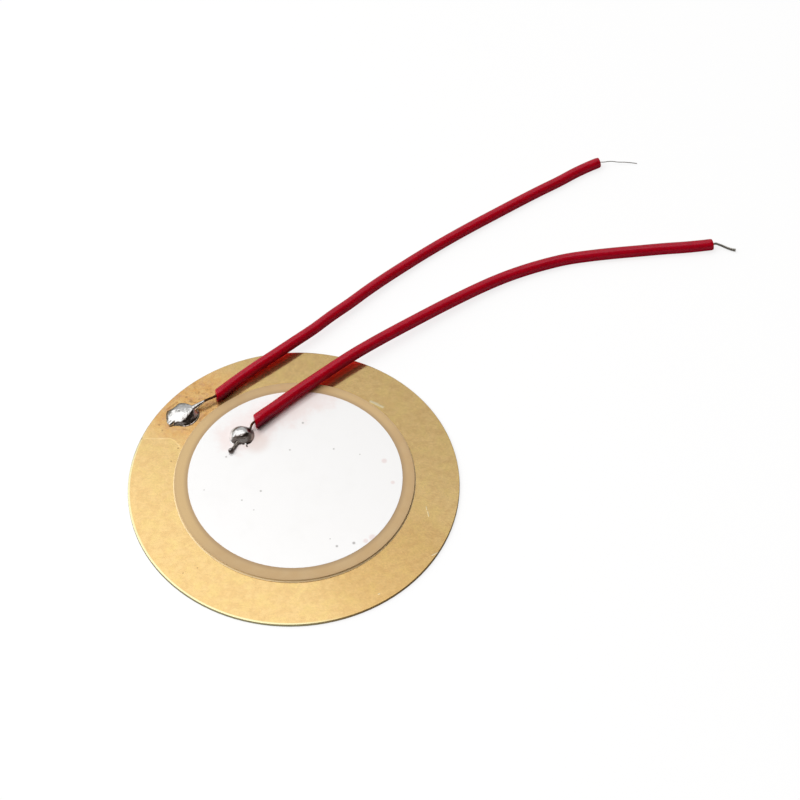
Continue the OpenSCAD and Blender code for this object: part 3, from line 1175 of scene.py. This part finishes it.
@dataclass(frozen=True)
class RedJacket:
    """Extruded red PVC: satin, slightly translucent, and darkened underneath by the joints, partly
    scorched by the iron and partly painted shade.

    Its map's first part runs round the tube: 0 is its left side, a quarter its top, a half its
    right side and three quarters its underside. Painted shade darkens its lower right side, and a
    brighter red on its underside is painted light bounced up from the metal. A band fades in at its
    first turn and out at its second.
    """

    scorch_and_shade_at: tuple[Vector, ...]
    base: Colour = (0.38, 0.0008, 0.007)
    deep: Colour = (0.34, 0.0006, 0.006)
    painted_shade_red: Colour = (0.2, 0.0004, 0.004)
    painted_bounce_red: Colour = (0.9, 0.045, 0.09)
    # Darkening by the joints: partly scorch, partly painted shade
    scorched: Colour = (0.05, 0.0008, 0.003)
    scorch_and_shade_r: float = 2.6
    dull_turn: Fade = (0.36, 0.52)
    painted_shade_band: tuple[Fade, Fade] = ((0.34, 0.46), (0.68, 0.58))
    painted_bounce_band: tuple[Fade, Fade] = ((0.6, 0.66), (0.96, 0.9))

    def material(self) -> bpy.types.Material:
        """Builds the finish.

        Returns:
            The material.
        """
        s = SurfaceShader("red_jacket")
        uv = s.node("ShaderNodeUVMap", {"uv_map": "along"})
        lines = s.noise(1.0, place=s.vector("MULTIPLY", uv, (9.0, 0.05, 0.0)))
        cloud = s.noise(1.1)
        skin = s.noise(12)
        turn = s.parts(uv)[0]
        under = turn.step(*self.dull_turn)
        bands = (self.painted_shade_band, self.painted_bounce_band)
        low, painted_bounce_red = (turn.step(*begins) * turn.step(*ends) for begins, ends in bands)
        tone = s.blend(cloud.step(0.35, 0.7), self.base, self.deep)
        # Painted shade on the lower right side
        tone = s.blend(low * 0.4, tone, self.painted_shade_red)
        # Painted light on the underside, standing in for light bounced up from the metal
        tone = s.blend(painted_bounce_red * 0.95, tone, self.painted_bounce_red)
        # Darker underside by the joints: partly scorched by the iron, partly painted shade
        for at in self.scorch_and_shade_at:
            tone = s.blend(s.spot(tuple(at), self.scorch_and_shade_r) * under * 0.75, tone, self.scorched)
        s.set(
            Base_Color=tone,
            Roughness=0.35 + 0.12 * cloud + 0.5 * under,
            Specular_IOR_Level=0.25,
            Specular_Tint=(1.0, 0.1, 1.0),
            Coat_Weight=0.7 - 0.7 * under,
            Coat_Roughness=0.2,
            Subsurface_Weight=0.5,
            Subsurface_Radius=(1.0, 0.2, 0.2),
            Subsurface_Scale=0.5 * MM,
        )
        s.relief(lines * 0.6 + skin * 0.4, 0.006)
        return s.material


# --------------------------------------------------------------------------- sub-assemblies


@dataclass
class DiscBody:
    """The plate, bond, ceramic and both silver prints, which stay as they are packed."""

    stack: Stack

    def dress(self, node: str, material: bpy.types.Material) -> None:
        """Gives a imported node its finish.

        Args:
            node: The node's name.
            material: Its material.
        """
        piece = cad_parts[node]
        piece.data.materials.clear()
        piece.data.materials.append(material)
        LOG.info("dressed %s", node)

    def build(self) -> None:
        """Dresses the layers."""
        silver = SilverPrint(self.stack).material()
        self.dress("brass_plate", BrassSheet(self.stack).material())
        self.dress("bond_layer", CuredBond().material())
        self.dress("lower_electrode", silver)
        self.dress("ceramic_disc", FiredCeramic(self.stack).material())
        self.dress("upper_electrode", silver)


@dataclass(frozen=True)
class Limb:
    """A tapering arm of solder that ends in a ball. Its points are from the joint's middle."""

    start: Point
    end: Point
    radii: Flat
    ball: float


@dataclass
class SolderJoint:
    """A drop of solder with the strands through it.

    Its foot and its shoulder are rings of matching points from the joint's middle, which start
    behind it and go anticlockwise. The flank goes from one to the other, and the crown from the
    shoulder to the peak. Fullness is 2 for a plain dome, and more for a flatter, steeper one. The
    drop starts a skirt below the metal, and is cut off just above it.
    """

    name: str
    route: LeadRoute
    foot: tuple[Flat, ...]
    shoulder: tuple[Point, ...]
    peak: Point
    flank: tuple[Flat, ...]
    limbs: tuple[Limb, ...]
    fullness: float = 2
    crown: tuple[float, ...] = (0.25, 0.5, 0.75, 0.92)
    limb_sides: int = 32
    ball_rings: int = 24
    voxel: float = 0.02
    smoothing: int = 14
    skirt: float = 0.08
    cut_gap: float = 0.0005

    def rings(self) -> list[list[Vector]]:
        """Lays out the drop.

        Returns:
            Its rings from the foot up.
        """
        rings = [[Vector((*p, -self.skirt)) for p in self.foot]]
        for inward, height in self.flank:
            ring = []
            for (fx, fy), (sx, sy, sz) in zip(self.foot, self.shoulder):
                ring.append(Vector((fx + inward * (sx - fx), fy + inward * (sy - fy), height * sz)))
            rings.append(ring)
        peak = Vector(self.peak)
        for inward in self.crown:
            ring = [Vector(p).lerp(peak, inward) for p in self.shoulder]
            for point, corner in zip(ring, self.shoulder):
                point.z = peak.z - (peak.z - corner[2]) * (1 - inward) ** self.fullness
            rings.append(ring)
        return rings

    def drop(self) -> bpy.types.Object:
        """Models the drop: its foot's face, raised ring by ring to the crown and subdivided.

        Returns:
            The drop.
        """
        Workshop.clear()
        bpy.ops.mesh.primitive_circle_add(vertices=len(self.foot), radius=1, fill_type="NGON")
        drop = bpy.context.object
        before, *rings = self.rings()
        for vertex, point in zip(drop.data.vertices, before):
            vertex.co = point
        bpy.ops.object.mode_set(mode="EDIT")
        bpy.ops.mesh.select_mode(type="FACE")
        bpy.ops.mesh.select_all(action="SELECT")
        for ring in rings:
            bpy.ops.mesh.extrude_region_move()
            bpy.ops.object.mode_set(mode="OBJECT")
            top = [vertex for vertex in drop.data.vertices if vertex.select]
            for old, new in zip(before, ring):
                corner = min(top, key=lambda vertex: (vertex.co - old).length)
                top.remove(corner)
                corner.co = new
            before = ring
            bpy.ops.object.mode_set(mode="EDIT")
        bpy.ops.mesh.select_mode(type="VERT")
        Workshop.apply(drop, "SUBSURF", levels=3, render_levels=3)
        return drop

    def arm(self, limb: Limb) -> list[bpy.types.Object]:
        """Models a limb.

        Args:
            limb: Its sizes.

        Returns:
            Its cone and its ball.
        """
        start, end = Vector(limb.start), Vector(limb.end)
        line = end - start
        Workshop.clear()
        bpy.ops.mesh.primitive_cone_add(
            vertices=self.limb_sides,
            radius1=limb.radii[0],
            radius2=limb.radii[1],
            depth=line.length,
            location=(start + end) / 2,
            rotation=line.to_track_quat("Z", "Y").to_euler(),
        )
        cone = bpy.context.object
        bpy.ops.mesh.primitive_uv_sphere_add(
            segments=self.limb_sides, ring_count=self.ball_rings, radius=limb.ball, location=end
        )
        return [cone, bpy.context.object]

    def build(self, material: bpy.types.Material) -> None:
        """Builds the joint in place of its solid.

        Args:
            material: The solder's material.
        """
        parts = [self.drop()]
        for limb in self.limbs:
            parts += self.arm(limb)
        Workshop.pick(*parts)
        bpy.ops.object.join()
        joint = parts[0]
        Workshop.apply(joint, "REMESH", mode="VOXEL", voxel_size=self.voxel)
        Workshop.apply(joint, "SMOOTH", factor=0.5, iterations=self.smoothing)
        joint.location = (*self.route.joint_at, self.route.base)
        Workshop.pick(joint)
        bpy.ops.object.transform_apply(location=True, rotation=True, scale=True)
        bpy.ops.object.mode_set(mode="EDIT")
        bpy.ops.mesh.select_all(action="SELECT")
        cut_at = (0, 0, self.route.base + self.cut_gap)
        bpy.ops.mesh.bisect(plane_co=cut_at, plane_no=UP, use_fill=True, clear_inner=True)
        bpy.ops.object.mode_set(mode="OBJECT")
        solid = f"{self.name}_solder_joint"
        Workshop.finish(joint, f"{self.name}_solder", material, Slot.SOLDER, solid)
        LOG.info("built %s: %d faces", joint.name, len(joint.data.polygons))


@dataclass
class Lead:
    """A lead: its red jacket and seven twisted strands.

    The slants are those of the jacket's two cut ends, in degrees. A lone tip is one bare strand, with
    the others cut back. Pitch is how far the outer strands' middles are from the middle one's. A lay
    is the length in which they turn once: where they are bare, in the jacket, and at the free tip,
    where they also spread. A step is the length from one ring of a tube to the next.
    """

    name: str
    route: LeadRoute
    slants: Flat
    lone_tip: bool = False
    bow: float = 0.0
    sunk: Flat = (0.0, 0.0)
    strands: int = 7
    strand_d: float = 0.07
    strand_sides: int = 8
    pitch: float = 0.073
    bare_lay: float = 2.4
    jacket_lay: float = 26.0
    tip_lay: float = 1.7
    tip_spread: float = 0.035
    cut_back: float = 0.5
    bore_r: float = 0.13
    jacket_sides: int = 32
    softened: float = 0.035
    waviness: float = 0.012
    waves_per_mm: float = 0.35
    swelling: float = 0.05
    swollen_length: float = 1.5
    swollen_aside: float = 1.3
    jacket_step: float = 0.3
    hidden_step: float = 0.8
    bare_step: float = 0.09
    tip_step: float = 0.07

    def ring(
        self, u: float, r: float, sides: int, offset: Flat = (0, 0), slant: float = 0
    ) -> list[Vector]:
        """A ring of points across the route.

        Args:
            u: Place along the route.
            r: Its radius.
            sides: Number of points.
            offset: How far its middle is off the route's, to the side and up.
            slant: Slant of the cut in degrees.

        Returns:
            The points.
        """
        place, along = self.route.at(u)
        side = UP.cross(along).normalized()
        over = along.cross(side)
        lean = math.tan(math.radians(slant))
        ring = []
        for k in range(sides):
            turn = 2 * math.pi * k / sides
            px, py = offset[0] + r * math.cos(turn), offset[1] + r * math.sin(turn)
            ring.append(place + px * side + py * over + px * lean * along)
        return ring

    def off_route(self, u: float) -> Flat:
        """How far the strands are off the route: sunk in the solder, then bowed.

        Args:
            u: Place along the route.

        Returns:
            How far to the side and up.
        """
        swing = abs(math.sin(math.pi * u))
        if u < self.route.jacket_start - 1:
            return self.sunk[0] * swing, self.sunk[1] * swing
        if u < self.route.jacket_start:
            return self.bow * swing, 0
        return 0, 0

    def lengths(self, stations: Sequence[float]) -> list[float]:
        """Measures the route.

        Args:
            stations: Places along it.

        Returns:
            How far each station is from the first, in millimetres.
        """
        found = [0.0]
        for a, b in zip(stations, stations[1:]):
            found.append(found[-1] + (self.route.at(b)[0] - self.route.at(a)[0]).length)
        return found

    def jacket(self, material: bpy.types.Material, strands: list[bpy.types.Object]) -> None:
        """Args:
            material: The jacket's material.
            strands: The strands in it. Not used.
        """
        stations = self.route.stations(self.route.jacket_start, self.route.jacket_end, self.jacket_step)
        lengths = self.lengths(stations)
        r = self.route.diameter / 2
        last = len(stations) - 1
        cuts = {0: self.slants[0], last: self.slants[1]}
        rings = []
        for j, u in enumerate(stations):
            # The cut's edges are softened by a ring a little narrower than the tube
            wide = r - self.softened if j in cuts else r
            wave = noise.noise(Vector((lengths[j] * self.waves_per_mm, r, 0)))
            grown = wide * (1 + self.waviness * wave)
            swollen = self.swelling * math.exp(-((lengths[j] / self.swollen_length) ** 2))
            offset = (-self.swollen_aside * swollen, swollen)
            rings.append(self.ring(u, min(grown, r) + swollen, self.jacket_sides, offset, cuts.get(j, 0)))
        rings += [self.ring(u, self.bore_r, self.jacket_sides) for u in reversed(stations)]
        name = f"{self.name}_jacket"
        piece = Workshop.swept(name, rings, True, lengths + lengths[::-1])
        Workshop.finish(piece, name, material, Slot.JACKET, f"{self.name}_lead_jacket")
        self.route.points[1] * MM
        self.route.diameter * MM
        [self.route.at(u)[0] * MM for u in stations]
        LOG.info("built %s: %.1f mm long", name, lengths[-1])

    def strand(self, i: int, material: bpy.types.Material) -> bpy.types.Object:
        """Builds one strand, wound round the middle one.

        Args:
            i: Its number, of which 1 is the middle one.
            material: The strand's material.

        Returns:
            The finished piece.
        """
        route = self.route
        first, last = route.jacket_start, route.jacket_end
        short = last - self.cut_back / (route.points[last] - route.points[last - 1]).length
        stop = short if self.lone_tip and i > 1 else route.end
        bare = route.stations(0, first, self.bare_step)
        stations = bare[:-1] + route.stations(first, min(stop, last), self.hidden_step)
        if stop > last:
            stations = stations[:-1] + route.stations(last, stop, self.tip_step)
        lengths = self.lengths(stations)
        into = self.lengths(bare)[-1]
        out_of = into + self.lengths(route.stations(first, last, self.hidden_step))[-1]
        rings = []
        for u, run in zip(stations, lengths):
            turns = (
                min(run, into) / self.bare_lay
                + max(0, min(run, out_of) - into) / self.jacket_lay
                + max(0, run - out_of) / self.tip_lay
            )
            spread = self.tip_spread * max(0, (u - last) / (route.end - last)) ** 3
            angle = 2 * math.pi * (turns + (i - 2) / (self.strands - 1))
            out = 0 if i == 1 else self.pitch + spread
            aside, over = self.off_route(u)
            offset = (out * math.cos(angle) + aside, out * math.sin(angle) + over)
            rings.append(self.ring(u, self.strand_d / 2, self.strand_sides, offset))
        name = f"{self.name}_strand_{i}"
        piece = Workshop.swept(name, rings, False, lengths)
        return Workshop.finish(piece, name, material, Slot.STRAND, f"{self.name}_lead_strand_{i}")

    def build(self, red: bpy.types.Material, tinned: bpy.types.Material) -> None:
        """Builds the strands and the jacket over them."""
        self.jacket(red, [self.strand(i, tinned) for i in range(1, self.strands + 1)])


# --------------------------------------------------------------------------- studio


@dataclass(frozen=True)
class Patch:
    """A soft-edged part of the surround. Its edge fades in from one cosine off its middle to another."""

    towards: Point
    edge: Fade

    def seen(self, shader: Shader, way: Signal) -> Signal:
        """How much of the patch lies in a direction."""
        return shader.dot(way, tuple(Vector(self.towards).normalized())).step(*self.edge)


@dataclass
class Studio:
    """A plain pale studio: camera, floor, one soft lamp and a surround.

    To the camera the floor and the surround are white. Mirror rays see a bright open sky, dimmer
    surroundings with dark places to the right, the front and the left, and a grey floor. Both the
    light and the dark places weaken towards the floor.
    """

    camera_at: Point = (8.637, -116.397, 167.312)
    camera_tilt: float = 36.78
    lens: float = 112.5
    floor_width: float = 1600
    floor_gap: float = 0.01
    paper: Colour = (0.75, 0.75, 0.75)
    front_floor: Colour = (0.2, 0.2, 0.19)
    back_floor: Colour = (0.4, 0.4, 0.39)
    floor_turn: Fade = (-8, 4)
    shadowed: Colour = (0.18, 0.18, 0.18)
    glow: float = 0.805
    white: Colour = (1.0, 1.0, 1.0)
    warm_dark: Colour = (1.0, 0.72, 0.58)
    bright: float = 1.2
    dim: float = 0.51
    dark: float = 0.035
    sky: Patch = Patch((-0.39, -0.1, 0.915), (0.685, 0.735))
    left_sky: Patch = Patch((-0.85, 0.3, 0.42), (0.85, 0.91))
    dark_right: Patch = Patch((0.75, -0.45, 0.3), (0.34, 0.54))
    dark_front: Patch = Patch((0.1, -0.93, 0.3), (0.74, 0.9))
    dark_left: Patch = Patch((-0.75, -0.6, 0.25), (0.885, 0.94))
    dark_left_share: float = 0.92
    gloom_by_floor: float = 0.3
    gloom_rise: Fade = (0.1, 0.42)
    light_by_floor: float = 0.25
    light_rise: Fade = (0.02, 0.28)
    lamp_towards: Point = (-0.43, -0.08, 0.9)
    lamp_off: float = 320
    lamp_width: float = 300
    lamp_watts: float = 0.83

    def camera(self) -> None:
        """Makes the camera."""
        data = bpy.data.cameras.new("camera")
        data.lens = self.lens
        data.sensor_width = 36.0
        data.clip_start = 0.005
        data.clip_end = 10.0
        piece = bpy.data.objects.new("camera", data)
        piece.location = Vector(self.camera_at) * MM
        piece.rotation_euler = (math.radians(self.camera_tilt), 0, 0)
        bpy.context.scene.collection.objects.link(piece)
        bpy.context.scene.camera = piece

    def floor(self) -> None:
        """Makes the floor, which is white to the camera and keeps the object's shadow."""
        Workshop.clear()
        below = (0, 0, -self.floor_gap * MM)
        bpy.ops.mesh.primitive_plane_add(size=self.floor_width * MM, location=below)
        floor = bpy.context.object
        floor.name = "floor"
        material = bpy.data.materials.new("pale_floor")
        material.use_nodes = True
        s = Shader(material.node_tree)
        seen = s.node("ShaderNodeLightPath", output="Is Camera Ray")
        mirrored = s.node("ShaderNodeLightPath", output="Is Glossy Ray")
        front, back = self.floor_turn
        behind = s.parts(s.node("ShaderNodeTexCoord", output="Object"))[1].step(front * MM, back * MM)
        in_metal = s.blend(behind, self.front_floor, self.back_floor)
        tone = s.blend(mirrored, self.paper, in_metal)
        paper = s.node("ShaderNodeBsdfDiffuse", None, {"Color": tone})
        lit = s.node("ShaderNodeBsdfDiffuse", None, {"Color": self.shadowed})
        glow = s.node("ShaderNodeEmission", None, {"Color": self.white, "Strength": self.glow})
        shown = s.node("ShaderNodeAddShader", None, {0: lit, 1: glow})
        both = s.node("ShaderNodeMixShader", None, {0: seen, 1: paper, 2: shown})
        s.node("ShaderNodeOutputMaterial", None, {"Surface": both})
        floor.data.materials.append(material)

    def surround(self) -> None:
        """Makes the world, which is white to the camera."""
        world = bpy.data.worlds.new("surround")
        bpy.context.scene.world = world
        world.use_nodes = True
        s = Shader(world.node_tree)
        way = s.node("ShaderNodeTexCoord", output="Generated")
        height = s.parts(way)[2]
        open_sky = self.sky.seen(s, way).most(self.left_sky.seen(s, way))
        level = self.dim + (self.bright - self.dim) * open_sky
        gloom = self.dark_right.seen(s, way).most(self.dark_front.seen(s, way))
        gloom = gloom.most(self.dark_left.seen(s, way) * self.dark_left_share)
        gloom = gloom * (self.gloom_by_floor + (1 - self.gloom_by_floor) * height.step(*self.gloom_rise))
        level = level * (1 - (1 - self.dark) * gloom)
        level = level * (self.light_by_floor + (1 - self.light_by_floor) * height.step(*self.light_rise))
        tint = s.blend(gloom, self.white, self.warm_dark)
        soft = s.node("ShaderNodeBackground", None, {"Color": tint, "Strength": level})
        white = s.node("ShaderNodeBackground", None, {"Color": self.white, "Strength": 1.0})
        seen = s.node("ShaderNodeLightPath", output="Is Camera Ray")
        both = s.node("ShaderNodeMixShader", None, {0: seen, 1: soft, 2: white})
        s.node("ShaderNodeOutputWorld", None, {"Surface": both})

    def lamp(self) -> None:
        """Hangs a soft square lamp over the disc, which mirror rays don't see."""
        data = bpy.data.lights.new("overhead", "AREA")
        data.shape = "SQUARE"
        data.size = self.lamp_width * MM
        data.energy = self.lamp_watts
        piece = bpy.data.objects.new(data.name, data)
        away = Vector(self.lamp_towards).normalized()
        piece.location = away * self.lamp_off * MM
        piece.rotation_euler = away.to_track_quat("Z", "Y").to_euler()
        piece.visible_glossy = False
        bpy.context.scene.collection.objects.link(piece)

    def build(self) -> None:
        """Sets up the whole studio."""
        self.camera()
        self.floor()
        self.surround()
        self.lamp()
        bpy.context.scene.view_settings.view_transform = "Standard"
        LOG.info("set up the studio")


# --------------------------------------------------------------------------- routes and joints


def plate_lead_route(stack: Stack) -> LeadRoute:
    """Lays out the lead that is soldered to the plate.

    Args:
        stack: The disc's layers.

    Returns:
        Its route.
    """
    return LeadRoute(
        joint_at=stack.plate_joint_at,
        joint_r=1.28,
        base=stack.plate_t,
        diameter=0.95,
        soldered=((-0.59, -0.78, 0.2), (1.37, 0.71, 0.56)),
        jacketed=(
            (2.75, 1.55, 0.04), (4.25, 2.95, 0.1), (5.85, 4.35, 0.2), (7.5, 5.7, 0.28), (9.1, 7.05, 0.33),
            (10.7, 8.45, 0.33), (12.2, 9.95, 0.29), (13.75, 11.4, 0.24), (15.25, 12.9, 0.18),
            (16.8, 14.35, 0.12), (18.4, 15.75, 0.07), (20, 17.1, 0.03), (21.65, 18.4, 0.01),
            (23.4, 19.7, 0), (25.1, 20.9, 0), (26.85, 22.1, 0), (28.6, 23.3, 0), (30.4, 24.5, 0),
            (32.2, 25.65, 0), (33.95, 26.85, 0), (35.9, 27.95, 0),
        ),
        tip=(
            (36.35, 28, 1), (37, 28.15, 0.85), (37.65, 28.15, 0.65), (38.25, 28.2, 0.5),
            (38.8, 28.2, 0.35), (39.35, 28.2, 0.15),
        ),
    )


def electrode_lead_route(stack: Stack) -> LeadRoute:
    """Lays out the lead that is soldered to the electrode.

    Args:
        stack: The disc's layers.

    Returns:
        Its route.
    """
    return LeadRoute(
        joint_at=stack.electrode_joint_at,
        joint_r=0.98,
        base=stack.top,
        diameter=1.02,
        soldered=((-0.77, -1.68, 0.24), (0.77, 0.41, 0.44)),
        jacketed=(
            (1.1, 1, 0.04), (2.65, 2.4, 0.07), (4.25, 3.85, 0.11), (5.9, 5.25, 0.16), (7.55, 6.65, 0.22),
            (9.2, 8, 0.28), (10.85, 9.25, 0.31), (12.65, 10.55, 0.32), (14.4, 11.8, 0.3),
            (16.15, 13.05, 0.26), (17.9, 14.25, 0.22), (19.7, 15.45, 0.15), (21.55, 16.55, 0.1),
            (23.45, 17.5, 0.05), (25.45, 18.3, 0.02), (27.5, 18.95, 0), (29.6, 19.35, 0),
            (31.7, 19.65, 0), (33.85, 19.9, 0), (36, 20.15, 0), (38.15, 20.35, 0), (40.35, 20.65, 0),
        ),
        tip=(
            (40.65, 20.75, 1), (41.05, 20.65, 0.85), (41.35, 20.55, 0.7), (41.75, 20.4, 0.55),
            (42.1, 20.3, 0.45), (42.4, 20.25, 0.42),
        ),
    )


def plate_solder(route: LeadRoute) -> SolderJoint:
    """The broad joint on the plate: a crest behind, a slope to the front left, a steep right side.

    Args:
        route: The lead's route.

    Returns:
        The joint.
    """
    return SolderJoint(
        name="plate",
        route=route,
        foot=(
            (0.05, 1.22), (-0.42, 1.18), (-0.62, 0.85), (-0.95, 0.52), (-1.36, 0.38), (-1.4, -0.1),
            (-1.33, -0.6), (-1.25, -1.12), (-0.78, -1.24), (-0.2, -1.2), (0.25, -1.34), (0.78, -1.16),
            (1.28, -0.68), (1.46, -0.15), (1.42, 0.4), (0.72, 0.97),
        ),
        shoulder=(
            (0.05, 0.9, 0.4), (-0.33, 0.86, 0.38), (-0.48, 0.64, 0.4), (-0.75, 0.38, 0.38),
            (-1.08, 0.2, 0.25), (-1.12, -0.1, 0.23), (-1.08, -0.5, 0.21), (-1.0, -0.92, 0.18),
            (-0.64, -0.97, 0.25), (-0.27, -0.98, 0.32), (0.12, -0.98, 0.38), (0.42, -0.72, 0.46),
            (0.62, -0.42, 0.51), (0.78, -0.1, 0.56), (0.97, 0.3, 0.58), (0.6, 0.66, 0.52),
        ),
        peak=(-0.05, 0.02, 0.61),
        flank=(
            (0, 0), (0.03, 0.05), (0.08, 0.085), (0.2, 0.09), (0.32, 0.2), (0.6, 0.58),
            (0.85, 0.88), (1, 1),
        ),
        limbs=(
            Limb((0.5, 0.15, 0.2), (1.75, 0.91, 0.56), (0.34, 0.12), 0.12),
            Limb((-0.45, -0.55, 0.08), (-0.97, -1.08, 0.07), (0.32, 0.19), 0.18),
        ),
        fullness=2.6,
    )


def electrode_solder(route: LeadRoute) -> SolderJoint:
    """The round, high joint on the electrode, with the strands' end on a neck and a small spike.

    Args:
        route: The lead's route.

    Returns:
        The joint.
    """
    return SolderJoint(
        name="electrode",
        route=route,
        foot=(
            (0.0, 0.97), (-0.44, 0.9), (-0.78, 0.7), (-0.96, 0.36), (-1.02, -0.05), (-1.0, -0.48),
            (-0.86, -0.9), (-0.46, -0.99), (0.0, -0.96), (0.4, -0.97), (0.77, -0.9), (1.02, -0.46),
            (1.12, -0.05), (1.06, 0.38), (0.77, 0.7), (0.42, 0.9),
        ),
        shoulder=(
            (-0.02, 0.82, 0.27), (-0.36, 0.76, 0.27), (-0.66, 0.58, 0.27), (-0.85, 0.3, 0.27),
            (-0.9, -0.05, 0.27), (-0.82, -0.36, 0.3), (-0.68, -0.56, 0.37), (-0.36, -0.68, 0.35),
            (-0.02, -0.7, 0.34), (0.34, -0.7, 0.34), (0.68, -0.6, 0.33), (0.92, -0.36, 0.3),
            (0.92, 0.0, 0.27), (0.84, 0.32, 0.27), (0.63, 0.58, 0.27), (0.3, 0.76, 0.27),
        ),
        peak=(0.1, -0.05, 0.77),
        flank=((0, 0), (0.15, 0.05), (0.3, 0.13), (0.5, 0.34), (0.75, 0.66), (1, 1)),
        limbs=(
            Limb((0.4, 0.2, 0.2), (0.75, 0.4, 0.44), (0.28, 0.12), 0.12),
            Limb((-0.22, -0.66, 0.1), (-0.58, -1.4, 0.14), (0.13, 0.115), 0.115),
            Limb((-0.58, -1.4, 0.14), (-0.79, -1.68, 0.2), (0.115, 0.12), 0.23),
            Limb((0.38, -0.82, 0.0), (0.5, -1.12, 0.02), (0.08, 0.06), 0.065),
        ),
        fullness=3,
    )


def main() -> None:
    """Builds the studio, then each sub-assembly."""
    logging.basicConfig(level=logging.INFO, format="%(name)s: %(message)s")
    Studio().build()
    stack = Stack.packed()
    plate_route = plate_lead_route(stack)
    electrode_route = electrode_lead_route(stack)
    # Offset under each jacket's end to the middle of its darkened spot, partly scorch and partly painted
    # shade
    under_end = Vector((0.5, -0.4, -0.5))
    ends = [route.points[route.jacket_start] for route in (plate_route, electrode_route)]
    red = RedJacket(tuple(end + under_end for end in ends)).material()
    tinned = TinnedStrand(stack).material()
    plate_lead = Lead("plate", plate_route, lone_tip=True, slants=(25, 5))
    plate_lead.build(red, tinned)
    electrode_lead = Lead("electrode", electrode_route, slants=(30, -3), bow=0.08, sunk=(0.1, -0.15))
    electrode_lead.build(red, tinned)
    broad = BroadJointSolder(stack.plate_joint_at, stack.plate_t).material()
    plate_solder(plate_route).build(broad)
    round_drop = RoundJointSolder(stack.electrode_joint_at, stack.top).material()
    electrode_solder(electrode_route).build(round_drop)
    DiscBody(stack).build()


if __name__ == "__main__":
    main()
